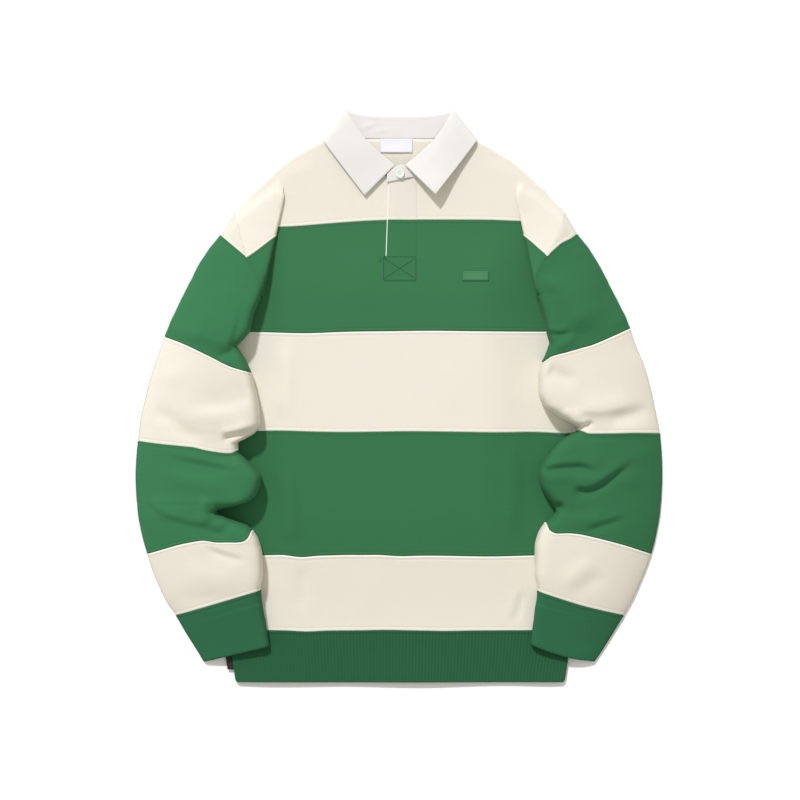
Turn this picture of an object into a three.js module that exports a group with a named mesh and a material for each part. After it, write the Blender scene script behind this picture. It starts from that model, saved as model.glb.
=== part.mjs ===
// Long-sleeved striped rugby polo shirt, laid flat on its back with the sleeves folded down.
// Millimetres. X runs across the shirt, Y from the hem up to the collar, Z up from the table.
// Every piece of cloth is a sheet: a grid of points half way through the wall, with the wall
// put on both sides of it. Pieces that are sewn to each other share a border and stay GAP apart.

import * as THREE from 'three';

// ---- driving sizes ---------------------------------------------------------------------
const CLOTH = 1.8; // wall of the fleece
const RIB_CLOTH = 2.2; // wall of the hem rib
const TWILL = 1.2; // wall of the collar
const GAP = 0.3; // between sewn pieces
const LAYER_GAP = 0.45; // between layers that lie on each other
const SLEEVE_GAP = 0.75; // between a sleeve and the front that it lies on
const FOLD = 1.4; // radius of a pressed fold, half way through the wall

const HEM = 2; // lowest edge of the hem rib
const RIB_TOP = 68;
const STRIPES = [165, 325, 453, 597]; // borders of the body's bands above the rib
const SIDE_TABLE = [
  { y: 2, half: 212 }, { y: 35, half: 217 }, { y: 68, half: 221 },
  { y: 90, half: 230 }, { y: 165, half: 240 }, { y: 325, half: 246 }, { y: 453, half: 246.6 },
];
const FRONT_EDGE_Z = CLOTH + LAYER_GAP + CLOTH / 2; // front's wall just over the back's edge
const FRONT_CROWN = 2.2; // how much higher the middle of the front lies
const RIB_FRONT_Z = 5.2;

// the pleat under each sleeve: the front folds out, back and out again from one point
const PLEAT = { x: 144.5, y: 648, hidden: rad(28.2), crease: rad(11.7), run: 45 };
PLEAT.turn = 2 * PLEAT.hidden - PLEAT.crease; // where the visible crease lies in the cut

// cut of the front: armhole seam, and shoulder with neckline
const ARMHOLE_CUT = [{ y: 453, half: 246.6 }, { y: 535, half: 254.5 }, { y: 597, half: 243 }, { y: 644, half: 224 }];
const TOP_CUT = [
  { half: 0, y: 641 }, { half: 17, y: 641 }, { half: 38, y: 658 }, { half: 66, y: 685 }, { half: 83, y: 702 },
  { half: 100, y: 694 }, { half: 134, y: 680 }, { half: 159, y: 660.5 }, { half: 193.7, y: 655.3 },
  { half: 224, y: 644 },
];
// outline of the back where it lies, which is flat and has no pleat
const BACK_ARMHOLE = [
  { y: 453, half: 246.6 }, { y: 475, half: 239 }, { y: 505, half: 227 }, { y: 540, half: 217 },
  { y: 575, half: 211.5 }, { y: 601, half: 208.8 },
];
const BACK_TOP = [
  { half: 0, y: 701 }, { half: 46, y: 701 }, { half: 75, y: 701 }, { half: 83, y: 698.5 },
  { half: 100, y: 690 }, { half: 134, y: 679 }, { half: 160, y: 658.5 }, { half: 190, y: 628 }, { half: 208.8, y: 601 },
];
const COLLAR_LIFT = 1.7; // the turned-down collar lies under the back's neck

// sleeves, a row for each section, from its inner to its outer end where it lies. Rows down to
// the armpit start at seam, a place on the armhole seam by the cut's y, and their lower layer ends
// on the back's armhole at the height back. With edge, the angle of the pleat's visible crease, the
// section first turns under it. The rows below close at under, on the lower layer. rise is the puff.
const LEFT_SLEEVE = [
  { seam: 597, outer: [231, 577], back: 590, rise: 4 },
  { seam: 574, outer: [245, 560], back: 568, rise: 7 },
  { seam: 550, outer: [257, 542], back: 540, rise: 9 },
  { seam: 543, outer: [261, 535], back: 530, rise: 10 },
  { seam: 537, outer: [264, 529], back: 520, rise: 11 },
  { seam: 531, edge: 12.1, outer: [267, 522], back: 511, rise: 12 },
  { seam: 525, edge: 12.1, outer: [271, 515], back: 502, rise: 13 },
  { seam: 500, edge: 12.9, outer: [282, 493], back: 482, rise: 15 },
  { seam: 475, edge: 14.2, outer: [291, 474], back: 466, rise: 16 },
  { inner: [211, 434], outer: [297, 459], under: [251, 446], rise: 12 },
  { inner: [199, 416], outer: [301, 451], under: [247, 432], rise: 18 },
  { inner: [192, 400], outer: [302.5, 446], under: [238, 419], rise: 22 },
  { inner: [186, 372], outer: [319, 401], under: [236, 382], rise: 26 },
  { inner: [180.6, 340], outer: [330, 362], under: [232, 347], rise: 27 },
  { inner: [190, 320], outer: [335, 335], under: [236, 324], rise: 22 },
  { inner: [208.6, 300], outer: [337, 312], under: [243, 303], rise: 15 },
  { inner: [190, 281], outer: [339, 288], under: [232, 282], rise: 22 },
  { inner: [180, 261], outer: [340, 263], under: [226, 261], rise: 25 },
  { inner: [194, 236], outer: [339, 237], under: [232, 236], rise: 21 },
  { inner: [224, 223], outer: [337, 215], under: [250, 221], rise: 13 },
  { inner: [196, 203], outer: [331, 190], under: [230, 199], rise: 18 },
  { inner: [189, 192], outer: [325, 167], under: [224, 186], rise: 19 },
  { inner: [178, 163], outer: [315, 137], under: [214, 156], rise: 20 },
  { inner: [177, 140], outer: [302, 109], under: [210, 132], rise: 17 },
  { inner: [180, 121], outer: [288, 88], under: [208, 112], rise: 12 },
  { inner: [175, 92], outer: [277, 66], under: [202, 85], rise: 8 },
  { inner: [172, 69], outer: [267, 48], under: [198, 63], rise: 6 },
  { inner: [169, 49], outer: [252, 28.5], under: [191, 44], rise: 4 },
];
const RIGHT_SLEEVE = [
  { seam: 597, outer: [228, 578], back: 590, rise: 4 },
  { seam: 574, outer: [242, 561], back: 568, rise: 7 },
  { seam: 550, outer: [254, 542], back: 540, rise: 9 },
  { seam: 543, outer: [258, 535], back: 530, rise: 10 },
  { seam: 537, outer: [262, 527], back: 520, rise: 11 },
  { seam: 531, edge: 12.1, outer: [266, 520], back: 511, rise: 12 },
  { seam: 525, edge: 12.0, outer: [269, 513], back: 502, rise: 13 },
  { seam: 500, edge: 12.2, outer: [279, 494], back: 482, rise: 15 },
  { seam: 475, edge: 12.8, outer: [287, 478], back: 466, rise: 17 },
  { inner: [193, 438], outer: [291, 469], under: [251, 446], rise: 19 },
  { inner: [188, 424], outer: [294, 462], under: [247, 436], rise: 20 },
  { inner: [183, 413], outer: [296, 457], under: [236, 424], rise: 21 },
  { inner: [179, 390], outer: [308, 425], under: [234, 404], rise: 25 },
  { inner: [181, 366], outer: [319, 390], under: [232, 375], rise: 27 },
  { inner: [200, 346], outer: [328, 356], under: [242, 350], rise: 21 },
  { inner: [229, 326], outer: [334, 322], under: [256, 325], rise: 13 },
  { inner: [197, 301], outer: [336, 300], under: [236, 301], rise: 22 },
  { inner: [178, 271], outer: [337, 268], under: [226, 270], rise: 26 },
  { inner: [187, 246], outer: [336, 241], under: [230, 245], rise: 22 },
  { inner: [201, 223], outer: [334, 216], under: [238, 221], rise: 17 },
  { inner: [192, 214], outer: [329, 190], under: [231, 207], rise: 19 },
  { inner: [187.5, 206], outer: [323, 167], under: [226, 195], rise: 20 },
  { inner: [174, 172], outer: [312, 137], under: [212, 163], rise: 20 },
  { inner: [174, 142], outer: [300, 110], under: [208, 134], rise: 17 },
  { inner: [177, 120], outer: [287.5, 88], under: [206, 112], rise: 12 },
  { inner: [174, 92], outer: [276, 66], under: [201, 85], rise: 8 },
  { inner: [172, 69], outer: [266, 48], under: [198, 63], rise: 6 },
  { inner: [174, 46], outer: [250, 29], under: [194, 41], rise: 4 },
];
const SLEEVE_BANDS = [
  { name: 'green_1', from: 0, to: 11, colour: 'green' },
  { name: 'cream_2', from: 11, to: 15, colour: 'cream' },
  { name: 'green_2', from: 15, to: 21, colour: 'green' },
  { name: 'cream_3', from: 21, to: 24, colour: 'cream' },
  { name: 'cuff', from: 24, to: 27, colour: 'green' },
];
const TOP_STEPS = [0.1, 0.24, 0.4, 0.56, 0.72, 0.88]; // across a sleeve's upper layer
const LOW_STEPS = [0.15, 0.35, 0.55, 0.78]; // across its lower layer

// collar, a row for each section from a leaf's front edge to the middle of the back:
// outer edge of the fall, its turned edge, the seam to the stand and the neck seam
const COLLAR = [
  { outer: [45.4, 628.4, 10.4], turn: [7, 667, 9], seam: [12, 655, 7.5], neck: [17, 641.5, 7.5] },
  { outer: [67, 656.5, 10], turn: [22, 679.5, 9.2], seam: [29, 669, 7.5], neck: [38, 658.5, 7.5] },
  { outer: [86, 681.5, 9.8], turn: [46.7, 703, 9], seam: [56, 693.5, 7.4], neck: [66, 685.5, 7.4] },
  { outer: [96, 695, 8.6], turn: [62, 726, 7.4], seam: [67, 713, 6.2], neck: [76, 703, 6.2] },
  { outer: [99.5, 700, 4.2], turn: [68.5, 735, 4.2], seam: [68.5, 720, 4.6], neck: [77.5, 706.5, 4.7] },
  { outer: [94, 697, 0.9], turn: [66.5, 734, 1.9], seam: [64, 719, 3.2], neck: [72, 704.8, 3.2] },
  { outer: [60, 688, 0.6], turn: [44, 731.5, 1.5], seam: [42, 717, 2.7], neck: [46, 701.8, 2.7] },
  { outer: [24, 686, 0.6], turn: [18, 730.5, 1.5], seam: [17, 716, 2.7], neck: [18, 701.8, 2.7] },
];

// the stand's buttoned end, past the right leaf's front edge
const STAND_END = [
  { seam: [-2, 665, 9.2], neck: [0, 642, 8.9] },
  { seam: [-11, 661, 9.4], neck: [-17, 645, 9.1] },
];
const PLACKET = { left: -17, right: 21, top: 640, bottom: 517 };
const NECK_LABEL = { left: -25, right: 16, low: 684, high: 700, wall: 0.5 };
const CHEST_LABEL = { left: 81, right: 113.5, low: 518.6, high: 530, wall: 1.4 };
const SIDE_LABEL = { left: -225.5, right: -217.3, low: 18, high: 35, wall: 1, z: 3.2 };
const BUTTON = { x: 0, y: 654, z: 10.3, radius: 5.7, wall: 2.4, rim: 0.5, sides: 24 };

const COLOURS = {
  cream: [0xefe7d6, 0.9],
  green: [0x38744d, 0.9],
  white: [0xeeeeed, 0.8],
  pearl: [0xf4f3ee, 0.25],
  black: [0x17181a, 0.7],
};

// ---- tables and small sums ---------------------------------------------------------------
function rad(degrees) {
  return (degrees * Math.PI) / 180;
}

const lerp = THREE.MathUtils.lerp;
const ease = (from, to, value) => {
  const t = Math.min(Math.max((value - from) / (to - from), 0), 1);
  return t * t * (3 - 2 * t);
};

// straight-line reading of a table sorted by its key column
function read(table, key, value, column) {
  let row = 1;
  while (row < table.length - 1 && table[row][key] < value) row += 1;
  const low = table[row - 1];
  const high = table[row];
  const share = Math.min(Math.max((value - low[key]) / (high[key] - low[key]), 0), 1);
  return lerp(low[column], high[column], share);
}

const sideAt = (y) => read(SIDE_TABLE, 'y', y, 'half');

// ---- where the layers lie ----------------------------------------------------------------
// lift of everything at the neck by the part of the collar that lies underneath
const neckLift = (half, y) => COLLAR_LIFT * ease(664, 682, y) * (1 - ease(104, 128, half));

const topY = (half) => read(TOP_CUT, 'half', half, 'y');
// 1 over most of the front, falling to 0 at the shoulder line, where it meets the back
const offShoulder = (half, y) => 1 - ease(0.72, 1, (y - STRIPES[3]) / (topY(half) - STRIPES[3]));

function frontZ(half, y, off_shoulder = offShoulder(half, y)) {
  const edge = y < STRIPES[2] ? sideAt(y) : read(ARMHOLE_CUT, 'y', y, 'half');
  const across = Math.min(half / edge, 1);
  const lift = neckLift(half, y);
  const edging = lerp(1, off_shoulder, ease(76, 92, half));
  return FRONT_EDGE_Z + lift + (FRONT_CROWN - lift) * (1 - across ** 4) * edging;
}

// the front's cut laid down with its pleat: from a point of the cut to where it lies
function layFront(half, y) {
  const dx = half - PLEAT.x;
  const dy = PLEAT.y - y;
  const radius = Math.hypot(dx, dy);
  const angle = Math.atan2(dx, dy);
  const bend = Math.PI * ease(0, PLEAT.run, radius);
  const arc = FOLD * bend;
  const middle = Math.max(radius * (PLEAT.turn - PLEAT.hidden) - arc, 0);
  const start = radius * PLEAT.hidden - arc / 2;
  const along = radius * angle - start; // along the cloth from where the fold begins
  if (along <= 0 || arc < 1e-6) return [half, y, frontZ(half, y)];
  let step = 0;
  let height = 0;
  if (along < arc) {
    step = FOLD * Math.sin(along / FOLD);
    height = FOLD * (1 - Math.cos(along / FOLD));
  } else {
    const on_middle = Math.min(along - arc, middle);
    step = FOLD * Math.sin(bend) + on_middle * Math.cos(bend);
    height = FOLD * (1 - Math.cos(bend)) + on_middle * Math.sin(bend);
    const on_second = Math.min(along - arc - on_middle, arc);
    if (on_second > 0) {
      const left = bend - on_second / FOLD;
      step += FOLD * (Math.sin(bend) - Math.sin(left));
      height += FOLD * (Math.cos(left) - Math.cos(bend));
    }
    step += Math.max(along - arc - middle - arc, 0);
  }
  const lag = (along - step) * (1 - ease(Math.PI / 2, Math.PI, angle));
  const laid = angle - lag / radius;
  const x = PLEAT.x + radius * Math.sin(laid);
  const laid_y = PLEAT.y - radius * Math.cos(laid);
  const off_shoulder = offShoulder(half, y);
  return [x, laid_y, frontZ(x, laid_y, off_shoulder) + height * off_shoulder];
}

// the surface that a sleeve's lower layer rests on: the table, or the shirt's front
function restZ(half, y) {
  const side = sideAt(y);
  const inside = (1 - ease(side + 12, side + 38, half)) * (1 - ease(STRIPES[2] + 2, STRIPES[2] + 20, y));
  const rib = y < RIB_TOP + 36 ? RIB_FRONT_Z + RIB_CLOTH / 2 : 0;
  return inside * (Math.max(frontZ(half, y) + CLOTH / 2, rib) + SLEEVE_GAP);
}

// ---- sheets to solids --------------------------------------------------------------------
const vec = (p) => new THREE.Vector3(p[0], p[1], p[2]);

// wall directions of a grid of points, from the steps along its rows and columns
function wallNormals(grid) {
  return grid.map((row, i) => row.map((point, j) => {
    const up = vec(grid[Math.min(i + 1, grid.length - 1)][j]).sub(vec(grid[Math.max(i - 1, 0)][j]));
    const across = vec(row[Math.min(j + 1, row.length - 1)]).sub(vec(row[Math.max(j - 1, 0)]));
    return across.cross(up).normalize();
  }));
}

function moved(point, target, distance) {
  const from = vec(point);
  return from.add(vec(target).sub(from).setLength(distance)).toArray();
}

// a sewn border drawn back from the seam, square to it, toward the next row
function drawnIn(border, next, distance_in) {
  return border.map((point, j) => {
    const last = border.length - 1;
    const along = vec(border[Math.min(j + 1, last)]).sub(vec(border[Math.max(j - 1, 0)])).normalize();
    const inward = vec(next[j]).sub(vec(point));
    inward.addScaledVector(along, -inward.dot(along)).setLength(distance_in);
    return vec(point).add(inward).toArray();
  });
}

// rows first..last of a grid, drawn in by half a seam gap at the borders that are sewn
function sheetPart(grid, first, last, wall, sewn_first = GAP / 2, sewn_last = GAP / 2) {
  const normals = wallNormals(grid).slice(first, last + 1);
  const rows = grid.slice(first, last + 1).map((row) => row.slice());
  const end = rows.length - 1;
  if (sewn_first) rows[0] = drawnIn(rows[0], rows[1], sewn_first);
  if (sewn_last) rows[end] = drawnIn(rows[end], rows[end - 1], sewn_last);
  return thickened(rows, normals, wall);
}

function thickened(rows, normals, wall) {
  const count = rows.length;
  const width = rows[0].length;
  const positions = [];
  for (const sign of [0.5, -0.5]) {
    rows.forEach((row, i) => row.forEach((p, j) => {
      const n = normals[i][j];
      positions.push(p[0] + n.x * wall * sign, p[1] + n.y * wall * sign, p[2] + n.z * wall * sign);
    }));
  }
  const at = (i, j, under) => (under ? count * width : 0) + i * width + j;
  const index = [];
  const quad = (a, b, c, d) => index.push(a, b, c, a, c, d);
  for (let i = 0; i < count - 1; i += 1) {
    for (let j = 0; j < width - 1; j += 1) {
      quad(at(i, j), at(i, j + 1), at(i + 1, j + 1), at(i + 1, j));
      quad(at(i, j, true), at(i + 1, j, true), at(i + 1, j + 1, true), at(i, j + 1, true));
    }
    quad(at(i, 0), at(i + 1, 0), at(i + 1, 0, true), at(i, 0, true));
    quad(at(i, width - 1), at(i, width - 1, true), at(i + 1, width - 1, true), at(i + 1, width - 1));
  }
  for (let j = 0; j < width - 1; j += 1) {
    quad(at(0, j), at(0, j, true), at(0, j + 1, true), at(0, j + 1));
    quad(at(count - 1, j), at(count - 1, j + 1), at(count - 1, j + 1, true), at(count - 1, j, true));
  }
  const geometry = new THREE.BufferGeometry();
  geometry.setAttribute('position', new THREE.Float32BufferAttribute(positions, 3));
  geometry.setIndex(facingOut(positions, index));
  return geometry;
}

// turns every triangle over when the closed mesh has its faces pointing in
function facingOut(positions, index) {
  const corner = (i) => new THREE.Vector3().fromArray(positions, 3 * i);
  let volume = 0;
  for (let i = 0; i < index.length; i += 3) {
    const [a, b, c] = [corner(index[i]), corner(index[i + 1]), corner(index[i + 2])];
    volume += a.dot(b.cross(c));
  }
  if (volume > 0) return index;
  const turned = [];
  for (let i = 0; i < index.length; i += 3) turned.push(index[i], index[i + 2], index[i + 1]);
  return turned;
}

const shirt = new THREE.Group();

function add(name, geometry, colour) {
  const [hex, roughness] = COLOURS[colour];
  const mesh = new THREE.Mesh(geometry, new THREE.MeshStandardMaterial({ color: hex, roughness, metalness: 0 }));
  mesh.name = name;
  shirt.add(mesh);
  return mesh;
}

// ---- body --------------------------------------------------------------------------------
const mirrored = (halves, place) => {
  const right = halves.map((half) => place(half));
  const left = right.slice(1).reverse().map(([x, y, z]) => [-x, y, z]);
  return [...left, ...right];
};

// columns of a pleated row: even to the hidden fold, close at both folds, even to the seam
function pleatedColumns(y, edge) {
  const drop = Math.max(PLEAT.y - y, 16);
  const hidden = PLEAT.x + drop * Math.tan(PLEAT.hidden);
  const crease = PLEAT.x + drop * Math.tan(PLEAT.turn);
  const near = 3;
  const columns = [0, 0.2, 0.4, 0.6, 0.8, 0.92].map((t) => t * (hidden - near));
  columns.push(hidden - near, hidden, hidden + near, crease - near, crease, crease + near);
  const last = Math.max(crease + near, edge - 12);
  columns.push(lerp(crease + near, edge, 0.4), Math.max(lerp(crease + near, edge, 0.75), last - 9), edge);
  const squeeze = 0.9;
  return columns.map((half, j) => Math.min(half, edge - squeeze * (columns.length - 1 - j)));
}

const evenColumns = (edge, count = 8) => Array.from({ length: count + 1 }, (_, j) => (edge * j) / count);

function pleatedRows() {
  const rows = [];
  const low = [STRIPES[2], 475, 500, 525, 531, 537, 543, 550, 574, STRIPES[3]];
  for (const y of low) {
    const edge = read(ARMHOLE_CUT, 'y', y, 'half') - GAP / 2;
    rows.push(mirrored(pleatedColumns(y, edge), (half) => layFront(half, y)));
  }
  const top_edge = ARMHOLE_CUT[3].half;
  const low_edge = ARMHOLE_CUT[2].half;
  for (const share of [0.22, 0.45, 0.65, 0.85, 1]) {
    const edge = lerp(low_edge, top_edge, share) - GAP / 2;
    const columns = pleatedColumns(lerp(STRIPES[3], 664, share), edge);
    rows.push(mirrored(columns, (half) => layFront(half, lerp(STRIPES[3], topY(half), share))));
  }
  return { rows, border: low.length - 1 };
}

function buildFront() {
  const pleated = pleatedRows();
  add('front_cream_1', sheetPart(pleated.rows, pleated.border, pleated.rows.length - 1, CLOTH, GAP / 2, 0), 'cream');
  add('front_green_1', sheetPart(pleated.rows, 0, pleated.border, CLOTH), 'green');
  const levels = [RIB_TOP, 90, 128, STRIPES[0], 218, 272, STRIPES[1], 390, STRIPES[2]];
  const rows = levels.map((y) => mirrored(evenColumns(sideAt(y)), (half) => [half, y, frontZ(half, y)]));
  add('front_cream_2', sheetPart(rows, 6, 8, CLOTH), 'cream');
  add('front_green_2', sheetPart(rows, 3, 6, CLOTH), 'green');
  add('front_cream_3', sheetPart(rows, 0, 3, CLOTH), 'cream');
}

function buildBack() {
  const flat = CLOTH / 2;
  const levels = [RIB_TOP, 90, STRIPES[0], STRIPES[1], STRIPES[2]];
  const rows = levels.map((y) => mirrored(evenColumns(sideAt(y), 3), (half) => [half, y, flat]));
  add('back_cream_3', sheetPart(rows, 0, 2, CLOTH), 'cream');
  add('back_green_2', sheetPart(rows, 2, 3, CLOTH), 'green');
  add('back_cream_2', sheetPart(rows, 3, 4, CLOTH), 'cream');
  const upper = [STRIPES[2], 475, 505, 540, 575, STRIPES[3]].map((y) => {
    const edge = read(BACK_ARMHOLE, 'y', y, 'half') - GAP / 2;
    return mirrored(evenColumns(edge, 4), (half) => [half, y, flat]);
  });
  add('back_green_1', sheetPart(upper, 0, upper.length - 1, CLOTH), 'green');
  const columns = [0, 25, 46, 64, 75, 83, 100, 117, 134, 147, 160, 175, 190, 208.5];
  const yoke = [0, 0.4, 0.66, 0.84, 0.93, 1].map((share) => mirrored(columns, (half) => {
    const y = lerp(STRIPES[3], read(BACK_TOP, 'half', half, 'y'), share);
    return [half, y, flat + neckLift(half, y)];
  }));
  add('back_cream_1', sheetPart(yoke, 0, yoke.length - 1, CLOTH, GAP / 2, 0), 'cream');
}

// the hem rib is one band, round both layers, joined at the left side
function buildHemRib() {
  const low = RIB_CLOTH / 2;
  const middle = (low + RIB_FRONT_Z) / 2;
  const radius = (RIB_FRONT_Z - low) / 2;
  const rows = [HEM, 35, RIB_TOP].map((y) => {
    const half = sideAt(y);
    const across = [-1, -0.5, 0, 0.5, 1].map((t) => t * (half - radius - RIB_CLOTH / 2));
    const front = across.map((x) => [x, y, RIB_FRONT_Z]);
    const back = across.slice().reverse().map((x) => [x, y, low]);
    const turn = [half - RIB_CLOTH / 2, y, middle];
    const rounding = radius * Math.SQRT1_2;
    const round = (sign) => [across[0] - rounding, y, middle + sign * rounding];
    const meet = (sign) => [-turn[0], y, middle + (sign * GAP) / 2];
    return [meet(1), round(1), ...front, turn, ...back, round(-1), meet(-1)];
  });
  add('hem_rib', sheetPart(rows, 0, rows.length - 1, RIB_CLOTH, 0), 'green');
}

// ---- sleeves -----------------------------------------------------------------------------
const between = (a, b, t) => [lerp(a[0], b[0], t), lerp(a[1], b[1], t)];
const distance = (a, b) => Math.hypot(b[0] - a[0], b[1] - a[1]);
const backSeam = (y) => [read(BACK_ARMHOLE, 'y', y, 'half') + GAP / 2, y];

// the sleeve's edge at the front's armhole seam, a little freer where the seam rounds the crease
function seamPoint(y) {
  const free = 1.5 + 2.6 * Math.exp(-(((y - 537) / 12) ** 2));
  return layFront(read(ARMHOLE_CUT, 'y', y, 'half') + free * GAP, y);
}

function fromPleat(radius, angle) {
  return [PLEAT.x + radius * Math.sin(angle), PLEAT.y - radius * Math.cos(angle)];
}

// the section's inner end, from its sewn edge to just past the inner edge on top. It turns under
// the pleat's crease to reach the armhole seam, lies flat to it, or turns under its own edge.
function innerEnd(row, inner, outer) {
  const width = distance(inner, outer);
  const fold_step = 2.5;
  const near = between(inner, outer, fold_step / width);
  if (row.edge) {
    const start = seamPoint(row.seam);
    const radius = distance([PLEAT.x, PLEAT.y], start);
    const from = Math.atan2(start[0] - PLEAT.x, PLEAT.y - start[1]);
    const stop = rad(row.edge) + Math.min(fold_step / radius, (from - rad(row.edge)) / 2);
    const hook = [0, 0.5, 1].map((t) => {
      const p = fromPleat(radius, lerp(from, stop, t));
      return [...p, t ? frontZ(...p) + 2 * FOLD : start[2]];
    });
    const z = hook[2][2];
    return [...hook, [...inner, z + FOLD], [...near, z + 2 * FOLD]];
  }
  if (row.seam) {
    const z = seamPoint(row.seam)[2];
    const top = Math.max(z, frontZ(...inner) + 4 * FOLD);
    return [0, 1, 2, 3, 4].map((step) => [...between(inner, outer, step / width), step ? top : z]);
  }
  const low = (p) => [...p, restZ(p[0], p[1]) + CLOTH / 2];
  const start = between(row.under, inner, GAP / 2 / distance(row.under, inner));
  const hook = [start, between(row.under, inner, 0.5), near].map(low);
  const z = low(inner)[2];
  return [...hook, [...inner, z + FOLD], [...near, z + 2 * FOLD]];
}

function innerPlace(row) {
  if (!row.seam) return row.inner;
  const [x, y] = seamPoint(row.seam);
  return row.edge ? fromPleat(distance([PLEAT.x, PLEAT.y], [x, y]), rad(row.edge)) : [x, y];
}

function sleeveSection(row) {
  const { outer } = row;
  const inner = innerPlace(row);
  const width = distance(inner, outer);
  const points = innerEnd(row, inner, outer);
  const start_z = points[points.length - 1][2];
  const low = CLOTH / 2;
  const outer_z = low + 2 * FOLD;
  for (const t of TOP_STEPS) {
    const puff = row.rise * Math.sqrt(4 * t * (1 - t));
    points.push([...between(inner, outer, t), lerp(start_z, outer_z, t) + puff]);
  }
  const near = between(outer, inner, 3 / width);
  points.push([...near, outer_z + row.rise * 0.15], [...outer, low + FOLD], [...near, low]);
  const end = row.under ? between(row.under, outer, (GAP / 2) / distance(row.under, outer)) : backSeam(row.back);
  for (const t of [...LOW_STEPS, 1]) {
    const p = between(near, end, t);
    points.push([...p, restZ(p[0], p[1]) + low]);
  }
  return points;
}

function buildSleeve(side, table, sign) {
  const rows = table.map((row) => sleeveSection(row).map(([x, y, z]) => [sign * x, y, z]));
  for (const band of SLEEVE_BANDS) {
    const geometry = sheetPart(rows, band.from, band.to, CLOTH, GAP / 2, band.name === 'cuff' ? 0 : GAP / 2);
    add(`sleeve_${side}_${band.name}`, geometry, band.colour);
  }
  buildSleeveCap(side, table[0], sign);
}

// the cream piece between the armhole seam and the first stripe border runs to a point, where
// the border's first columns are left out
function buildSleeveCap(side, border, sign) {
  const columns = sleeveSection(border).slice(5);
  const inner = innerPlace(border);
  const width = distance(inner, border.outer);
  const shoulder = ARMHOLE_CUT[3].y;
  const low = CLOTH / 2;
  const tip = columns.length - LOW_STEPS.length - 3;
  const seam = columns.map((point, j) => {
    if (j < tip) return seamPoint(lerp(STRIPES[3], shoulder, (distance(inner, point) / width) * 0.97));
    if (j === tip) return [BACK_ARMHOLE[5].half + 1, BACK_ARMHOLE[5].y, low + FOLD];
    return [...backSeam(lerp(BACK_ARMHOLE[5].y - 1, border.back, (j - tip - 1) / (columns.length - tip - 2))), low];
  });
  const middle = seam.map((p, j) => vec(p).lerp(vec(columns[j]), 0.5).toArray());
  const rows = [seam, middle, columns].map((row) => row.map(([x, y, z]) => [sign * x, y, z]));
  add(`sleeve_${side}_cap`, sheetPart(rows, 0, 2, CLOTH, GAP, 3 * GAP), 'cream');
}

// ---- collar, placket and small pieces ----------------------------------------------------
function collarRows(section) {
  const half = COLLAR.map(section);
  const other = half.map((row) => row.map(([x, y, z]) => [-x, y, z])).reverse();
  return [...half, ...other];
}

function buildCollar() {
  const fall = collarRows(({ outer, turn, seam }) => {
    const toward_seam = vec(turn).lerp(vec(seam), 0.2);
    toward_seam.z = lerp(turn[2], seam[2], 0.75);
    const toward_outer = vec(turn).lerp(vec(outer), 0.07);
    toward_outer.z = lerp(turn[2], outer[2], 0.6);
    const middle = vec(turn).lerp(vec(outer), 0.5);
    middle.z = lerp(turn[2], outer[2], 0.85);
    const stop = moved(seam, turn, 2.5 * GAP);
    return [stop, toward_seam.toArray(), turn, toward_outer.toArray(), middle.toArray(), outer];
  });
  add('collar_fall', sheetPart(fall, 0, fall.length - 1, TWILL, 0, 0), 'white');
  const across = ({ seam, neck }) => {
    const start = moved(seam, neck, 3 * GAP);
    const stop = moved(neck, seam, GAP / 2);
    return [start, vec(start).lerp(vec(stop), 0.5).toArray(), stop];
  };
  const stand = [...STAND_END.map(across).reverse(), ...collarRows(across)];
  add('collar_stand', sheetPart(stand, 0, stand.length - 1, TWILL, 0, 0), 'white');
}

// a patch that follows the front: the front's own points, moved out past its wall
function patchOnFront(left, right, low, high, wall, columns, rows) {
  const lift = CLOTH / 2 + GAP + wall / 2;
  const grid = [];
  for (let i = 0; i <= rows; i += 1) {
    const y = lerp(low, high, i / rows);
    const row = [];
    for (let j = 0; j <= columns; j += 1) {
      const x = lerp(left, right, j / columns);
      row.push([x, y, frontZ(Math.abs(x), y) + lift]);
    }
    grid.push(row);
  }
  return thickened(grid, wallNormals(grid), wall);
}

function buildPlacket() {
  const wall = CLOTH;
  const { left, right, top, bottom } = PLACKET;
  add('placket_cream', patchOnFront(left, right, STRIPES[3] + GAP / 2, top, wall, 3, 2), 'cream');
  add('placket_green', patchOnFront(left, right, bottom, STRIPES[3] - GAP / 2, wall, 3, 4), 'green');
  const edge = left - GAP;
  add('placket_facing', patchOnFront(edge - 1.8, edge, 552, top, 1, 1, 5), 'white');
}

function slab(left, right, low, high, bottom, wall) {
  const geometry = new THREE.BoxGeometry(right - left, high - low, wall);
  geometry.translate((left + right) / 2, (low + high) / 2, bottom + wall / 2);
  return geometry;
}

function buildLabels() {
  const neck = NECK_LABEL;
  const back_top = CLOTH + COLLAR_LIFT + GAP;
  add('neck_label', slab(neck.left, neck.right, neck.low, neck.high, back_top, neck.wall), 'white');
  const chest = CHEST_LABEL;
  const patch = patchOnFront(chest.left, chest.right, chest.low, chest.high, chest.wall, 2, 1);
  add('chest_label', patch, 'green');
  const side = SIDE_LABEL;
  add('side_label', slab(side.left, side.right, side.low, side.high, side.z, side.wall), 'black');
}

function buildButton() {
  const { radius, wall, rim, sides } = BUTTON;
  const profile = [[0, 0], [radius - rim, 0], [radius, rim], [radius, wall - rim], [radius - rim, wall]];
  profile.push([radius - 1.6, wall - 0.5], [0, wall - 0.5]);
  const geometry = new THREE.LatheGeometry(profile.map(([r, z]) => new THREE.Vector2(r, z)), sides);
  const button = add('button', geometry, 'pearl');
  button.rotation.x = Math.PI / 2;
  button.position.set(BUTTON.x, BUTTON.y, BUTTON.z);
}

buildBack();
buildFront();
buildHemRib();
buildSleeve('left', LEFT_SLEEVE, -1);
buildSleeve('right', RIGHT_SLEEVE, 1);
buildCollar();
buildPlacket();
buildLabels();
buildButton();

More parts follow.
